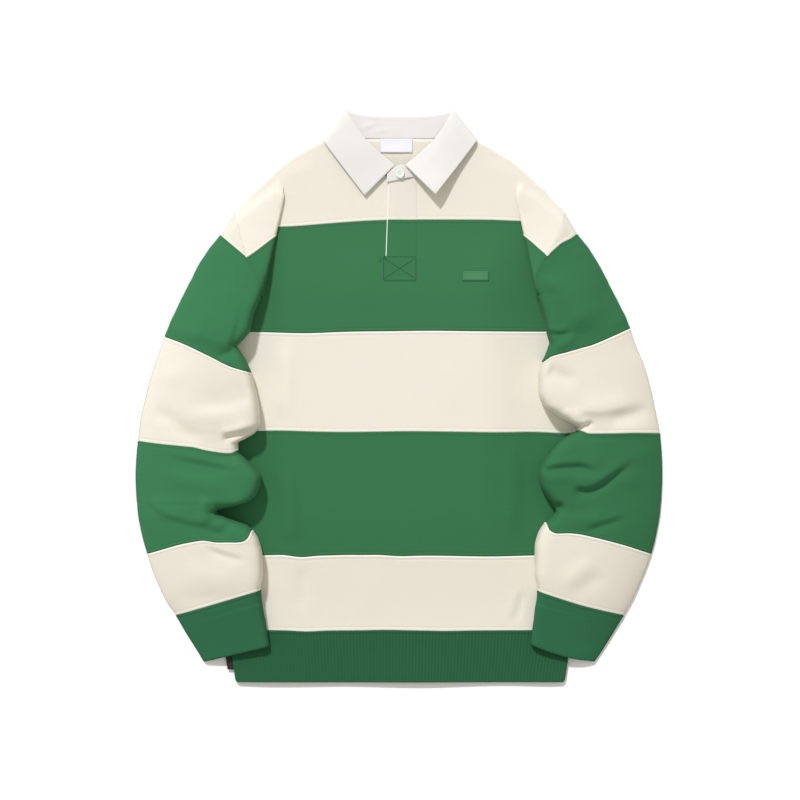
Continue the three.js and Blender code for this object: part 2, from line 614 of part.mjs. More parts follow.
// origin: middle of the shirt's box on the table
const bounds = new THREE.Box3().setFromObject(shirt);
shirt.position.set(-(bounds.min.x + bounds.max.x) / 2, -(bounds.min.y + bounds.max.y) / 2, -bounds.min.z);

const part = new THREE.Group();
part.add(shirt);

export default part;
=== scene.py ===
"""Striped rugby polo shirt laid flat: what it looks like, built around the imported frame.

Sizes are in millimetres, on the shirt's own lines: X from its centre line, Y up from the hem,
Z up from the surface that it lies on. Each sheet of cloth is a grid of points half way through
its wall, and shell() puts the wall on both sides and turns it into metres in the frame.
"""

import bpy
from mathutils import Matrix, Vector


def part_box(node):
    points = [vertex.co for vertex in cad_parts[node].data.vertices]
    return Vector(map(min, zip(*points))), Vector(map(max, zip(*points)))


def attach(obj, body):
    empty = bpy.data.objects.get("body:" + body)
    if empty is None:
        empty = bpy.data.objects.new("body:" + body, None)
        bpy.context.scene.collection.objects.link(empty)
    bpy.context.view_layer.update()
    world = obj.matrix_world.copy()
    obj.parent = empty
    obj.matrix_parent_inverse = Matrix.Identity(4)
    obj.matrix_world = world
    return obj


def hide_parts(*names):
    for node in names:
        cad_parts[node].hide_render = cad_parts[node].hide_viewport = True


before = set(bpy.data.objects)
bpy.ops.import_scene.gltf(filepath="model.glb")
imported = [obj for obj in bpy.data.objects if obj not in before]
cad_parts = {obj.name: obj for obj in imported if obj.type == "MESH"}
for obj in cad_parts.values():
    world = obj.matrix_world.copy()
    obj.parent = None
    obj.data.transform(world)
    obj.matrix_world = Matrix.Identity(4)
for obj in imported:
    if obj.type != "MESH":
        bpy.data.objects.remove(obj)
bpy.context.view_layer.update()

import math

import bmesh
import bpy
import numpy as np
from mathutils import Vector

# ---- the shirt's lines in the frame: the back's lower green band is centred on both ------------
STRIPES = (165.0, 325.0, 453.0, 597.0)
low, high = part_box("back_green_2")
SHIFT = np.array([500 * (low[0] + high[0]), 500 * (low[1] + high[1]) - (STRIPES[0] + STRIPES[1]) / 2, 0.0])

LEFT, RIGHT = -1, 1
# ---- driving sizes, as the solids have them ----------------------------------------------------
CLOTH = 1.8  # walls of the fleece, the ribs, the collar and the placket
RIB_CLOTH = 2.2
TWILL = 1.2
PLACKET_WALL = 1.2
FOLD = 1.4  # radius of a pressed fold, half way through the wall
HEM = 2.0  # lowest edge of the hem rib
RIB_TOP = 68.0
FRONT_EDGE_Z = 3.15  # the front's layer at its sides, and how much higher its middle lies
FRONT_CROWN = 2.2
RIB_FRONT_Z = 5.2
COLLAR_LIFT = 1.7  # the turned-down collar lies under the back's neck
SLEEVE_GAP = 0.75  # between a sleeve and the front that it lies on
SEAM_GAP = 0.05  # the visible pieces meet closer than the solids do
SLEEVE_LAP = 1.2  # how far the sleeve's edge laps over the front's, and how much higher it lies
LAP_LIFT = 0.35

# half widths of the body by height, and of the front's cut above the armpit
SIDE = ((2, 212), (35, 217), (68, 221), (90, 230), (165, 240), (325, 246), (453, 246.6))
ARMHOLE = ((453, 246.6), (535, 254.5), (597, 243), (648.4, 225.6))
# shoulder and neckline by half width: the front's cut, and below it the back where it lies
TOP = (
    (0, 652), (14, 653), (22, 655), (38, 661), (66, 686), (83, 702),
    (99, 697), (110, 692.4), (128, 681.8), (142, 673.2), (159, 662), (193.7, 657), (225.6, 648.4),
)
BACK_ARMHOLE = ((453, 246.6), (475, 239), (505, 227), (540, 217), (575, 211.5), (601, 208.8))
BACK_TOP = (
    (0, 701), (46, 701), (75, 701), (83, 698.5), (99, 695.5), (110, 691), (128, 680), (142, 671.5),
    (157, 659.5), (175, 642), (195, 621), (208.8, 601),
)
# outer silhouette from the shoulder down to the second stripe border
SHOULDER = (
    (83, 702), (99, 697), (110, 692.6), (128, 681.9), (142.4, 673.2), (157, 661.2), (175.3, 643.8),
    (184.2, 636), (195.2, 624), (207, 612), (213.2, 604.5), (222, 592),
)

# The pleat under each sleeve: its start, the angles of its hidden fold and its visible crease,
# that crease's angle in the cut, and the length over which the fold closes
APEX = (144.5, 648.0)
HIDDEN = math.radians(28.2)
CREASE = math.radians(11.7)
TURN = 2 * HIDDEN - CREASE
PLEAT_RUN = 24.0
CLOSING = (0.28 * math.pi, 0.72 * math.pi)  # the layers come together between these angles, round the start
# angle of the visible crease by distance from the pleat's start
CREASE_ANGLES = {
    LEFT: ((118, 11.7), (128, 12.1), (152, 12.9), (177, 14.2)),
    RIGHT: ((118, 11.7), (128, 12.0), (152, 12.2), (177, 12.8)),
}
# how far the upper layer puffs up, by distance from the pleat's start
PUFF = ((0, 0), (45, 0.4), (75, 4), (100, 9), (130, 16), (165, 23), (200, 28))
BORDER_AT_ARMHOLE = 592.0  # height in the cut where the first stripe border meets the armhole

# Sleeves down to the armpit: seam height in the cut, outer edge x and y, lower layer's end on the back
UPPER = {
    LEFT: (
        (592, 231, 577, 590), (574, 245, 560, 568), (550, 257, 542, 540), (543, 261, 535, 530),
        (537, 264, 529, 520), (531, 267, 522, 511), (525, 271, 515, 502), (500, 282, 493, 482),
        (475, 291, 474, 466),
    ),
    RIGHT: (
        (592, 228, 578, 590), (574, 242, 561, 568), (550, 254, 542, 540), (543, 258, 535, 530),
        (537, 262, 527, 520), (531, 266, 520, 511), (525, 269, 513, 502), (500, 279, 494, 482),
        (475, 287, 478, 466),
    ),
}
# Sleeves below it: inner edge x and y, outer edge x and y, underarm seam x and y, puff
LOWER = {
    LEFT: (
        (211, 434, 297, 459, 251, 446, 28), (199, 416, 301, 451, 247, 432, 29),
        (192, 400, 302.5, 446, 238, 419, 30), (187, 380, 313, 418, 236, 392, 31),
        (182, 356, 325, 378, 233, 363, 32), (180.6, 336, 332, 348, 232, 340, 32),
        (186, 324.5, 334.5, 336, 234, 328, 31), (198, 316.5, 335.5, 327, 240, 320, 29),
        (209, 309.5, 336.3, 319, 244, 312, 28), (208.6, 300, 337, 312, 243, 303, 28),
        (200, 290, 338.3, 299, 238, 293, 29.5), (190, 280, 339.3, 286, 232, 282, 31),
        (179, 264, 340, 267, 227, 265, 32.4), (184, 246, 339.5, 250, 229, 247, 32.4),
        (194, 236, 338.8, 238, 234, 236, 32.5), (211, 230.5, 338, 231, 242, 230, 31),
        (226, 227, 337.5, 224, 252, 226, 30), (236, 221.5, 336.5, 215, 256, 220, 29),
        (226, 215, 334.5, 204, 252, 212, 28.5), (211, 209, 331.5, 190, 242, 204, 28.5),
        (197, 203.5, 328, 177, 230, 197, 28.5), (190.5, 198, 325, 167, 224, 191, 28.5),
        (182, 184, 320, 150, 219, 175, 28), (177.5, 163, 313, 132, 214, 154, 27),
        (177, 142, 303, 110, 210, 133, 25), (180, 121, 288, 88, 208, 112, 21),
        (177, 97, 276.4, 68, 203, 89, 16), (172.5, 72, 263.8, 48, 198, 65, 11),
        (169, 49, 252, 28.5, 191, 44, 7),
    ),
    RIGHT: (
        (193, 438, 291, 469, 251, 446, 28), (188, 424, 294, 462, 247, 436, 29),
        (183, 413, 296, 457, 236, 424, 30), (179, 396, 304, 434, 234, 409, 31),
        (179, 376, 314, 410, 233, 386, 32), (186, 358, 322, 382, 236, 366, 32.5),
        (197, 350, 325.5, 366, 241, 355, 32), (208, 342.5, 328.5, 352, 246, 346, 30.5),
        (220, 335.5, 331, 340, 251, 337, 29), (229, 329, 332.8, 330, 256, 329, 28.5),
        (229, 326, 334, 322, 256, 325, 28.5), (220, 320.5, 335, 313, 250, 319, 29),
        (211, 315, 335.8, 304, 246, 313, 31), (197, 301, 336.6, 292, 238, 299, 33),
        (184, 284, 337, 276, 229, 282, 32.4), (178, 269, 337, 263, 226, 268, 33),
        (181, 256, 336.5, 250, 228, 255, 31), (189, 243, 336, 239, 232, 242, 29.5),
        (197.5, 231, 335, 228, 236, 230, 28.5), (201, 223, 334, 217, 238, 221, 28),
        (196, 215.5, 331, 200, 234, 211, 28.5), (191, 211.5, 327.5, 183, 230, 204, 28.5),
        (187.5, 208, 323, 167, 226, 197, 28.5), (178, 193, 318, 152, 218, 182, 28.5),
        (174, 175, 311, 135, 212, 164, 28), (174, 145, 300, 110, 208, 136, 26),
        (177.5, 120, 287.5, 88, 206, 112, 21.5), (174.5, 95, 274.8, 67, 202, 87, 16),
        (171.5, 72, 263, 48, 198, 65, 11), (169, 51, 250, 28.5, 192, 46, 7),
    ),
}
# the bands of a sleeve: rows of the lower table where they start and end
BANDS = {
    LEFT: (("cream_2", 2, 9), ("green_2", 9, 21), ("cream_3", 21, 25), ("cuff", 25, 28)),
    RIGHT: (("cream_2", 2, 10), ("green_2", 10, 22), ("cream_3", 22, 26), ("cuff", 26, 29)),
}
# how a border bows away from the straight line between its ends: row, then share across and step in y
BOWS = {
    LEFT: (
        (2, ((0, 0), (0.235, -2.8), (0.49, -0.5), (0.8, 1.2), (1, 0))),
        (9, ((0, 0), (0.06, -3.7), (0.12, -4.4), (0.28, -3.4), (0.46, -0.6), (0.73, -0.7), (1, 0))),
        (21, (
            (0, 0), (0.015, -5.5), (0.032, -8.9), (0.06, -10.9), (0.09, -11.4), (0.118, -11), (0.2, -8.5),
            (0.316, -5.2), (0.487, 2.1), (0.643, 3), (1, 0),
        )),
    ),
    RIGHT: (
        (2, ((0, 0), (0.097, 3.2), (0.274, 1), (0.425, -0.7), (0.575, -2.3), (0.73, -1.8), (1, 0))),
        (10, ((0, 0), (0.05, -1.3), (0.114, -3.5), (0.35, -2.6), (0.7, -0.6), (1, 0))),
        (22, (
            (0, 0), (0.011, -5), (0.03, -8.4), (0.0775, -9.8), (0.13, -7.9), (0.21, -4.4), (0.35, -1.1),
            (0.76, 1.2), (1, 0),
        )),
        (26, ((0, 0), (0.19, -1), (0.5, -1.9), (1, 0))),
        (29, ((0, 0), (0.3, -2.8), (0.6, -3.5), (1, 0))),
    ),
}

# Creases. A path with rising x; then width above and below it, height above and below
# it (a trough is below 0), and the shares of its length over which its two ends fade.
CREASE_STEP = 5.5  # half the width over which the two sides of a crease pass into each other
CREASE_POINTS = 18
SLEEVE_CREASES = {
    LEFT: (
        # green band over the elbow
        (((-231, 490), (-227, 530), (-220, 566)), 14, 14, -1.6, -1.6, 0.4, 0.4),
        (((-280, 462), (-245, 447), (-212, 438)), 30, 12, 4.4, 4.4, 0.4, 0.1),
        (((-243, 421), (-228, 423), (-212, 431)), 7, 5, -2.5, -4.5, 0.7, 0.0),
        # cream band: a broad slope down to a long trough, and a lit rise below it
        (((-272, 360), (-232, 361), (-188, 372)), 22, 12, -3.2, -3.2, 0.4, 0.15),
        (((-282, 348), (-240, 347), (-203, 350)), 10, 12, 1.4, 1.4, 0.4, 0.3),
        (((-320, 357), (-285, 334), (-250, 309)), 10, 12, -3.2, -3.2, 0.3, 0.3),
        (((-322, 392), (-290, 396), (-255, 408)), 14, 14, 1.6, 1.6, 0.4, 0.4),
        # the lip at the elbow, over a narrow opening
        (((-228, 320), (-214.6, 322), (-198, 326.5), (-182, 334)), 9, 7, 2.6, -7.5, 0.15, 0.5),
        (((-227, 317), (-219, 309), (-210, 300)), 5, 8, -3.0, 0.6, 0.2, 0.1),
        # lower green band
        (((-306, 296), (-266, 288), (-221, 279), (-200, 272)), 18, 18, 0.8, -3.0, 0.45, 0.35),
        (((-320, 270), (-270, 262), (-212, 250)), 12, 12, 2.4, 2.4, 0.4, 0.3),
        (((-250, 292), (-228, 291), (-206, 287)), 7, 6, -1.8, -1.8, 0.4, 0.2),
        (((-240, 221), (-224, 223), (-204, 221)), 8, 8, -9.0, -9.0, 0.25, 0.0),
        (((-246, 204), (-249, 222), (-243, 243)), 9, 6, 3.4, 3.4, 0.3, 0.3),
        (((-324, 238), (-305.7, 220), (-278, 211), (-244, 203), (-209, 190)), 15, 15, 1.8, -1.8, 0.1, 0.3),
        (((-240, 190), (-222, 201), (-206, 216)), 6, 6, -2.0, -2.0, 0.5, 0.2),
        # lower cream band
        (((-250, 181), (-225, 170), (-194, 162)), 7, 9, 0.8, -2.8, 0.35, 0.35),
        (((-292, 150), (-245, 140), (-200, 128)), 14, 16, 1.5, 1.5, 0.4, 0.3),
        (((-300, 118), (-255, 112), (-205, 118)), 10, 12, -1.3, -1.3, 0.4, 0.4),
    ),
    RIGHT: (
        (((194, 530), (210, 500), (227, 467), (238, 446)), 20, 13, 5.4, 5.4, 0.25, 0.3),
        (((191, 452), (203, 450.5), (222, 455)), 6, 5, 1.8, -4.6, 0.0, 0.5),
        (((196, 432), (210, 437), (226, 450)), 6, 7, 2.6, 2.6, 0.3, 0.4),
        (((258, 450), (266, 485), (262, 525)), 14, 18, -1.8, -1.8, 0.4, 0.4),
        # cream band
        (((186, 404), (206, 396), (232, 388)), 9, 11, -3.0, -3.0, 0.2, 0.5),
        (((218, 357), (252, 352), (304, 362)), 16, 7, 3.2, 3.2, 0.35, 0.3),
        (((258, 339), (292, 345), (323, 357)), 9, 11, -3.6, -3.6, 0.35, 0.3),
        # the notch at the elbow
        (((214, 335.5), (228, 333.5), (238, 335), (244, 341)), 7, 5, 3.6, -8.0, 0.15, 0.2),
        (((206, 352), (224, 345), (242, 349)), 7, 6, 2.6, 2.6, 0.3, 0.4),
        # lower green band
        (((220, 254), (238, 252), (256, 259), (273, 271), (303, 292)), 16, 9, 4.0, -6.6, 0.12, 0.45),
        (((182, 277), (206, 281.5), (230, 282.5), (256, 273)), 12, 8, 2.6, -4.2, 0.1, 0.35),
        (((236, 268), (250, 285), (262, 300)), 12, 12, 1.8, 1.8, 0.4, 0.4),
        (((193, 229), (202, 229), (213, 225)), 5, 5, -7.0, -7.0, 0.0, 0.5),
        (((232, 200), (261.5, 209), (292, 218)), 9, 8, 1.6, -3.4, 0.3, 0.4),
        (((240, 300), (280, 303), (322, 300)), 12, 14, -1.6, -1.6, 0.4, 0.4),
        (((206, 206), (240, 214), (276, 226)), 9, 9, 1.6, 1.6, 0.4, 0.4),
        # lower cream band
        (((204, 122), (228, 146), (252, 166)), 10, 14, 2.0, 2.0, 0.4, 0.4),
        (((214, 112), (240, 130), (268, 146)), 10, 12, -1.8, -1.8, 0.4, 0.4),
    ),
}
BODY_CREASES = (
    (((-155, 292), (-140, 240), (-136, 180)), 8, 13, 2.6, 2.6, 0.35, 0.2),
    (((-151, 444), (-147, 390), (-149, 336)), 8, 14, 2.4, 2.4, 0.25, 0.25),
    (((-127, 156), (-125, 126), (-128, 90)), 6, 7, -1.5, -1.5, 0.3, 0.4),
    (((143, 78), (150, 100), (157, 124)), 9, 6, 1.0, -2.2, 0.2, 0.3),
    (((142, 180), (145, 250), (141, 318)), 12, 10, 2.0, 2.0, 0.3, 0.3),
    (((60, 340), (68, 395), (62, 440)), 22, 24, 0.8, 0.8, 0.4, 0.4),
    (((-44, 78), (-36, 118), (-40, 158)), 22, 22, 0.7, 0.7, 0.4, 0.4),
    (((76, 182), (70, 250), (80, 315)), 26, 26, 0.8, 0.8, 0.4, 0.4),
    (((-64, 468), (-52, 520), (-60, 570)), 24, 24, 0.7, 0.7, 0.4, 0.4),
    (((104, 470), (112, 520), (106, 575)), 20, 20, 0.7, 0.7, 0.4, 0.4),
)
SWELL = 9.0  # how far the front stands up between the sleeves
SWELL_FALL = {LEFT: (138, 176), RIGHT: (104, 178)}  # half widths between which it falls off, by side
SWELL_START, SWELL_END = (68, 235), (490, 610)  # and heights
CREASES_END = (168, 190)  # half widths between which the body's creases fade
# the borders sewn across the body wander a little, by height: middle, spread and height of each wave
WAVES = {
    165.0: (
        (-127, 16, -2.0), (-150, 14, 0.8), (2, 18, -0.8), (-30, 18, 0.8), (-66, 22, 0.8), (115, 48, -1.2),
    ),
    68.0: ((-120, 20, -1.4), (-20, 26, 0.7), (60, 26, -0.7)),
    325.0: ((-150, 26, 0.6), (-70, 60, -1.4), (60, 40, -0.6), (130, 50, -1.8), (212, 30, -3.0)),
    453.0: ((-125, 46, -2.3), (40, 50, 0.8)),
    597.0: ((-161, 70, -9.0), (-80, 50, -1.6), (170, 40, -2.0)),
}


# ---- small sums --------------------------------------------------------------------------------
def ease(start, end, value):
    """0 before start, 1 after end, and a smooth step between them."""
    t = np.clip((value - start) / (end - start), 0, 1)
    return t * t * (3 - 2 * t)


def bell(distance, width):
    """1 at no distance, falling off to either side."""
    return np.exp(-((distance / width) ** 2))


def read(table, at):
    """Straight-line reading of a table of two columns."""
    keys, values = zip(*table)
    return np.interp(at, keys, values)


def smooth(keys, values, at):
    """A cubic through the rows of a table that never overshoots them."""
    keys = np.asarray(keys, float)
    values = np.asarray(values, float)
    shape = (-1,) + (1,) * (values.ndim - 1)
    step = np.diff(keys).reshape(shape)
    rate = np.diff(values, axis=0) / step
    slope = np.empty_like(values)
    slope[0], slope[-1] = rate[0], rate[-1]
    before, after = rate[:-1], rate[1:]
    turning = before * after <= 0
    safe = np.where(turning, 1, before * after)
    weights = step[1:] + step[:-1]
    mean = 3 * weights * safe / np.where(
        turning, 1, (2 * step[1:] + step[:-1]) * after + (step[1:] + 2 * step[:-1]) * before
    )
    slope[1:-1] = np.where(turning, 0, mean)
    at = np.asarray(at, float)
    i = np.clip(np.searchsorted(keys, at, side="right") - 1, 0, len(keys) - 2)
    t = ((at - keys[i]) / (keys[i + 1] - keys[i])).reshape(shape)
    h = step[i]
    rise = values[i + 1] - values[i]
    ahead = t * t * (3 - 2 * t)
    return (
        values[i] + rise * ahead + h * slope[i] * t * (1 - t) ** 2 - h * slope[i + 1] * t * t * (1 - t)
    )


def run_of(line):
    """Length along a line up to each of its points."""
    return np.concatenate([[0], np.cumsum(np.linalg.norm(np.diff(line, axis=0), axis=1))])


CLOSE = np.array([0.35, 0.8, 1.3, 1.9, 2.6, 3.3, 3.9, 4.4, 4.9, 5.5, 6.5, 8.0])  # rows beside a seam
LOOSE = np.array([3.0, 6.0])  # rows beside a free edge
SEAM_ZONE = 9.5


def graded(length, step=3.0, fine=True, fine_end=True):
    """Places along a length, close together by an end that is sewn."""
    count = max(int((length - 16) / step), 1)
    middle = np.linspace(SEAM_ZONE, length - SEAM_ZONE, count + 1)
    first = CLOSE if fine else LOOSE
    last = CLOSE if fine_end else LOOSE
    return np.concatenate([[0], first, middle, (length - last)[::-1], [length]])


def side_at(y):
    """Half width of the body."""
    return read(SIDE, y)


def top_at(half):
    return read(TOP, half)


NECK_RISE, NECK_FALL = (664, 682), (104, 128)  # heights, and half widths, of the lift at the neck
YOKE_END = 0.72  # share of the yoke from where the front comes down to the shoulder line
NECK_EDGE = (76, 92)  # half widths where that begins


def neck_lift(half, y):
    """How much the back's neck lies higher, over the collar turned down under it."""
    return COLLAR_LIFT * ease(*NECK_RISE, y) * (1 - ease(*NECK_FALL, half))


def off_shoulder(half, y):
    """1 on the front, falling to 0 at the shoulder line, where it comes down to the back."""
    return 1 - ease(YOKE_END, 1, (y - STRIPES[3]) / (top_at(half) - STRIPES[3]))


def front_z(half, y, off=None):
    """Height of the front's layer half way through its wall."""
    if off is None:
        off = off_shoulder(half, y)
    edge = np.where(y < STRIPES[2], side_at(y), read(ARMHOLE, y))
    across = np.minimum(half / edge, 1)
    lift = neck_lift(half, y)
    edging = 1 + (off - 1) * ease(*NECK_EDGE, half)
    return FRONT_EDGE_Z + lift + (FRONT_CROWN - lift) * (1 - across**4) * edging


def distance_to(line, x, y):
    """Distance of points from a line, the share along it, and the side they are on."""
    line = np.asarray(line, float)
    run = run_of(line)
    best = np.full(np.shape(x), 1e9)
    along = np.zeros(np.shape(x))
    side = np.ones(np.shape(x))
    for k in range(len(line) - 1):
        a, b = line[k], line[k + 1]
        d = b - a
        size = np.dot(d, d)
        t = np.clip(((x - a[0]) * d[0] + (y - a[1]) * d[1]) / size, 0, 1)
        px, py = x - a[0] - t * d[0], y - a[1] - t * d[1]
        away = np.hypot(px, py)
        nearer = away < best
        best = np.where(nearer, away, best)
        along = np.where(nearer, (run[k] + t * math.sqrt(size)) / run[-1], along)
        side = np.where(nearer, np.sign(d[0] * py - d[1] * px), side)
    return best, along, side


def creases(x, y, table):
    """Height that a table of creases adds at each point."""
    total = np.zeros(np.shape(x))
    for path, width_above, width_below, above, below, fade_in, fade_out in table:
        line = smooth(np.arange(len(path)), path, np.linspace(0, len(path) - 1, CREASE_POINTS))
        away, along, side = distance_to(line, x, y)
        upper = ease(-CREASE_STEP, CREASE_STEP, away * side)
        profile = upper * above * bell(away, width_above) + (1 - upper) * below * bell(away, width_below)
        ends = ease(0, max(fade_in, 1e-3), along) if fade_in else 1
        ends = ends * (1 - ease(1 - max(fade_out, 1e-3), 1, along)) if fade_out else ends
        total += profile * ends
    return total


# ---- the pleat ---------------------------------------------------------------------------------
def dome(t, peak=0.19, inner=3.8, outer=2.6, fall=0.72):
    """Section of a puffed layer: steep at the inner edge, highest at peak, round at the outer edge."""
    t = np.clip(t, 0, 1)
    u = np.clip(1 - t / peak, 0, 1)
    v = np.clip((t - peak) / (1 - peak), 0, 1)
    return np.where(t < peak, (1 - u**inner) ** (1 / inner), (1 - v**outer) ** fall)


def around_apex(half, y):
    """Distance from the pleat's start, and the angle round it from straight down."""
    dx, dy = half - APEX[0], APEX[1] - y
    return np.hypot(dx, dy), np.arctan2(dx, dy)


def from_apex(radius, angle):
    return np.stack([APEX[0] + radius * np.sin(angle), APEX[1] - radius * np.cos(angle)], axis=-1)


def upper_puff(x, y, side):
    """How much the upper layer stands up between the visible crease and the outer edge."""
    half = np.abs(x)
    radius, angle = around_apex(half, y)
    crease = np.radians(read(CREASE_ANGLES[side], radius))
    inside = np.clip(radius * (angle - crease), 0, None)
    outline = list(SHOULDER) + [(row[1], row[2]) for row in UPPER[side]]
    outside, _, _ = distance_to(outline, half, y)
    share = inside / np.maximum(inside + outside, 1e-6)
    return read(PUFF, radius) * dome(share)


def lay_front(half, y):
    """The front's cut laid down with its pleat; the last value is 1 on the uppermost layer."""
    half, y = np.broadcast_arrays(np.asarray(half, float), np.asarray(y, float))
    radius, angle = around_apex(half, y)
    radius = np.maximum(radius, 1e-6)
    bend = math.pi * ease(0, PLEAT_RUN, radius)
    arc = FOLD * bend
    middle = np.maximum(radius * (TURN - HIDDEN) - arc, 0)
    along = radius * angle - (radius * HIDDEN - arc / 2)
    flat = (along <= 0) | (arc < 1e-6)
    on_first = np.clip(along, 0, arc)
    on_middle = np.clip(along - arc, 0, middle)
    on_second = np.clip(along - arc - middle, 0, arc)
    rest = np.maximum(along - 2 * arc - middle, 0)
    step = FOLD * np.sin(on_first / FOLD) + on_middle * np.cos(bend)
    height = FOLD * (1 - np.cos(on_first / FOLD)) + on_middle * np.sin(bend)
    left = bend - on_second / FOLD
    closing = (1 - ease(*CLOSING, angle)) * ease(2, PLEAT_RUN, radius)
    step = step + FOLD * (np.sin(bend) - np.sin(left)) + rest
    height = height + FOLD * (np.cos(left) - np.cos(bend))
    lag = (along - step) * (1 - ease(math.pi / 2, math.pi, angle))
    laid = angle - lag / radius
    turned = from_apex(radius, laid)
    x = np.where(flat, half, turned[..., 0])
    laid_y = np.where(flat, y, turned[..., 1])
    off = off_shoulder(half, y)
    z = np.where(flat, front_z(half, y, off), front_z(x, laid_y, off) + height * off * closing)
    upper = np.where(flat, 0, ease(0.4, 1.0, on_second / np.maximum(arc, 1e-6)))
    return x, laid_y, z, upper * np.where(arc > 1e-6, 1, 0)


# The right armhole, which the fuller right sleeve draws in toward the crease. By height: how far
# the seam lies from the crease, and how far it moves. Then lifts: x, spread, y, spread, height.
SEAM_OFF_CREASE = ((500, 3), (512, 9.5), (524, 17.4), (539, 27.6), (550, 34.7), (604, 66))
SEAM_PULL = ((500, 0), (506, -4), (513, -9), (524, -14), (539, -12.6), (552, -6.8), (566, -3.5), (592, 0))
SEAM_REACH = 26.0
SEAM_LIFTS = ((200, 16, 550, 14, 1.7), (211, 11, 563, 12, 3.6))


def settle(x, y, upper):
    """Draws the right armhole in on the upper layer."""
    seam = read(SEAM_OFF_CREASE, y)
    away = x - (APEX[0] + (APEX[1] - y) * math.tan(CREASE))
    weight = np.where(away < seam, np.clip(away, 0, None) / seam, bell(away - seam, SEAM_REACH))
    lift = sum(high * bell(x - cx, sx) * bell(y - cy, sy) for cx, sx, cy, sy, high in SEAM_LIFTS)
    return x + read(SEAM_PULL, y) * weight * upper, y + lift * upper


REST_FADE = (12.0, 38.0)  # past the body's side, the sleeve comes down to the surface
REST_END = (STRIPES[2] + 2, STRIPES[2] + 20)  # and at the armpit
REST_ON_RIB = RIB_TOP + 36


def rest_z(half, y):
    """What a sleeve's lower layer rests on: the surface, or the shirt's front."""
    inside = (1 - ease(*REST_FADE, half - side_at(y))) * (1 - ease(*REST_END, y))
    rib = np.where(y < REST_ON_RIB, RIB_FRONT_Z + RIB_CLOTH / 2, 0)
    return inside * (np.maximum(front_z(half, y) + CLOTH / 2, rib) + SLEEVE_GAP)


# ---- sheets to meshes --------------------------------------------------------------------------
def normals_of(grid):
    """Unit normals of a grid, turned up on its higher part."""
    n = np.cross(np.gradient(grid, axis=1), np.gradient(grid, axis=0))
    n /= np.maximum(np.linalg.norm(n, axis=2, keepdims=True), 1e-9)
    high_part = grid[..., 2] >= np.median(grid[..., 2])
    return -n if n[..., 2][high_part].mean() < 0 else n


def runs(grid):
    """Length along each row, and along each column, up to every point."""
    u = np.linalg.norm(np.diff(grid, axis=1), axis=2)
    v = np.linalg.norm(np.diff(grid, axis=0), axis=2)
    u = np.concatenate([np.zeros((grid.shape[0], 1)), np.cumsum(u, axis=1)], axis=1)
    v = np.concatenate([np.zeros((1, grid.shape[1])), np.cumsum(v, axis=0)], axis=0)
    return u, v


# Relief of a lapped seam, as height, distance from the join and width: a ridge beside the join,
# a stitched line further in, and a dip at the join.
SEAM_RELIEF = ((0.34, 1.7, 1.1), (-0.22, 4.5, 0.55), (-0.7, 0.0, 0.55))
SIDE_SEAM_SHARE = 0.2  # side seams show less
NO_SEAM = 1000.0
RIM = 0.3  # how far the free edge is rounded, as a share of the wall


def seam_relief(distance):
    return sum(height * bell(distance - place, width) for height, place, width in SEAM_RELIEF)


def make_piece(name, points, faces, material, replaces=()):
    """A piece from points in the shirt's millimetres: moved to its place, closed and ridden."""
    mesh = bpy.data.meshes.new(name)
    mesh.from_pydata(((np.asarray(points) + SHIFT) / 1000).tolist(), [], faces)
    piece = bpy.data.objects.new(name, mesh)
    bpy.context.collection.objects.link(piece)
    turn_out(mesh)
    mesh.materials.append(material)
    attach(piece, "root")
    if replaces:
        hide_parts(*replaces)
    return piece


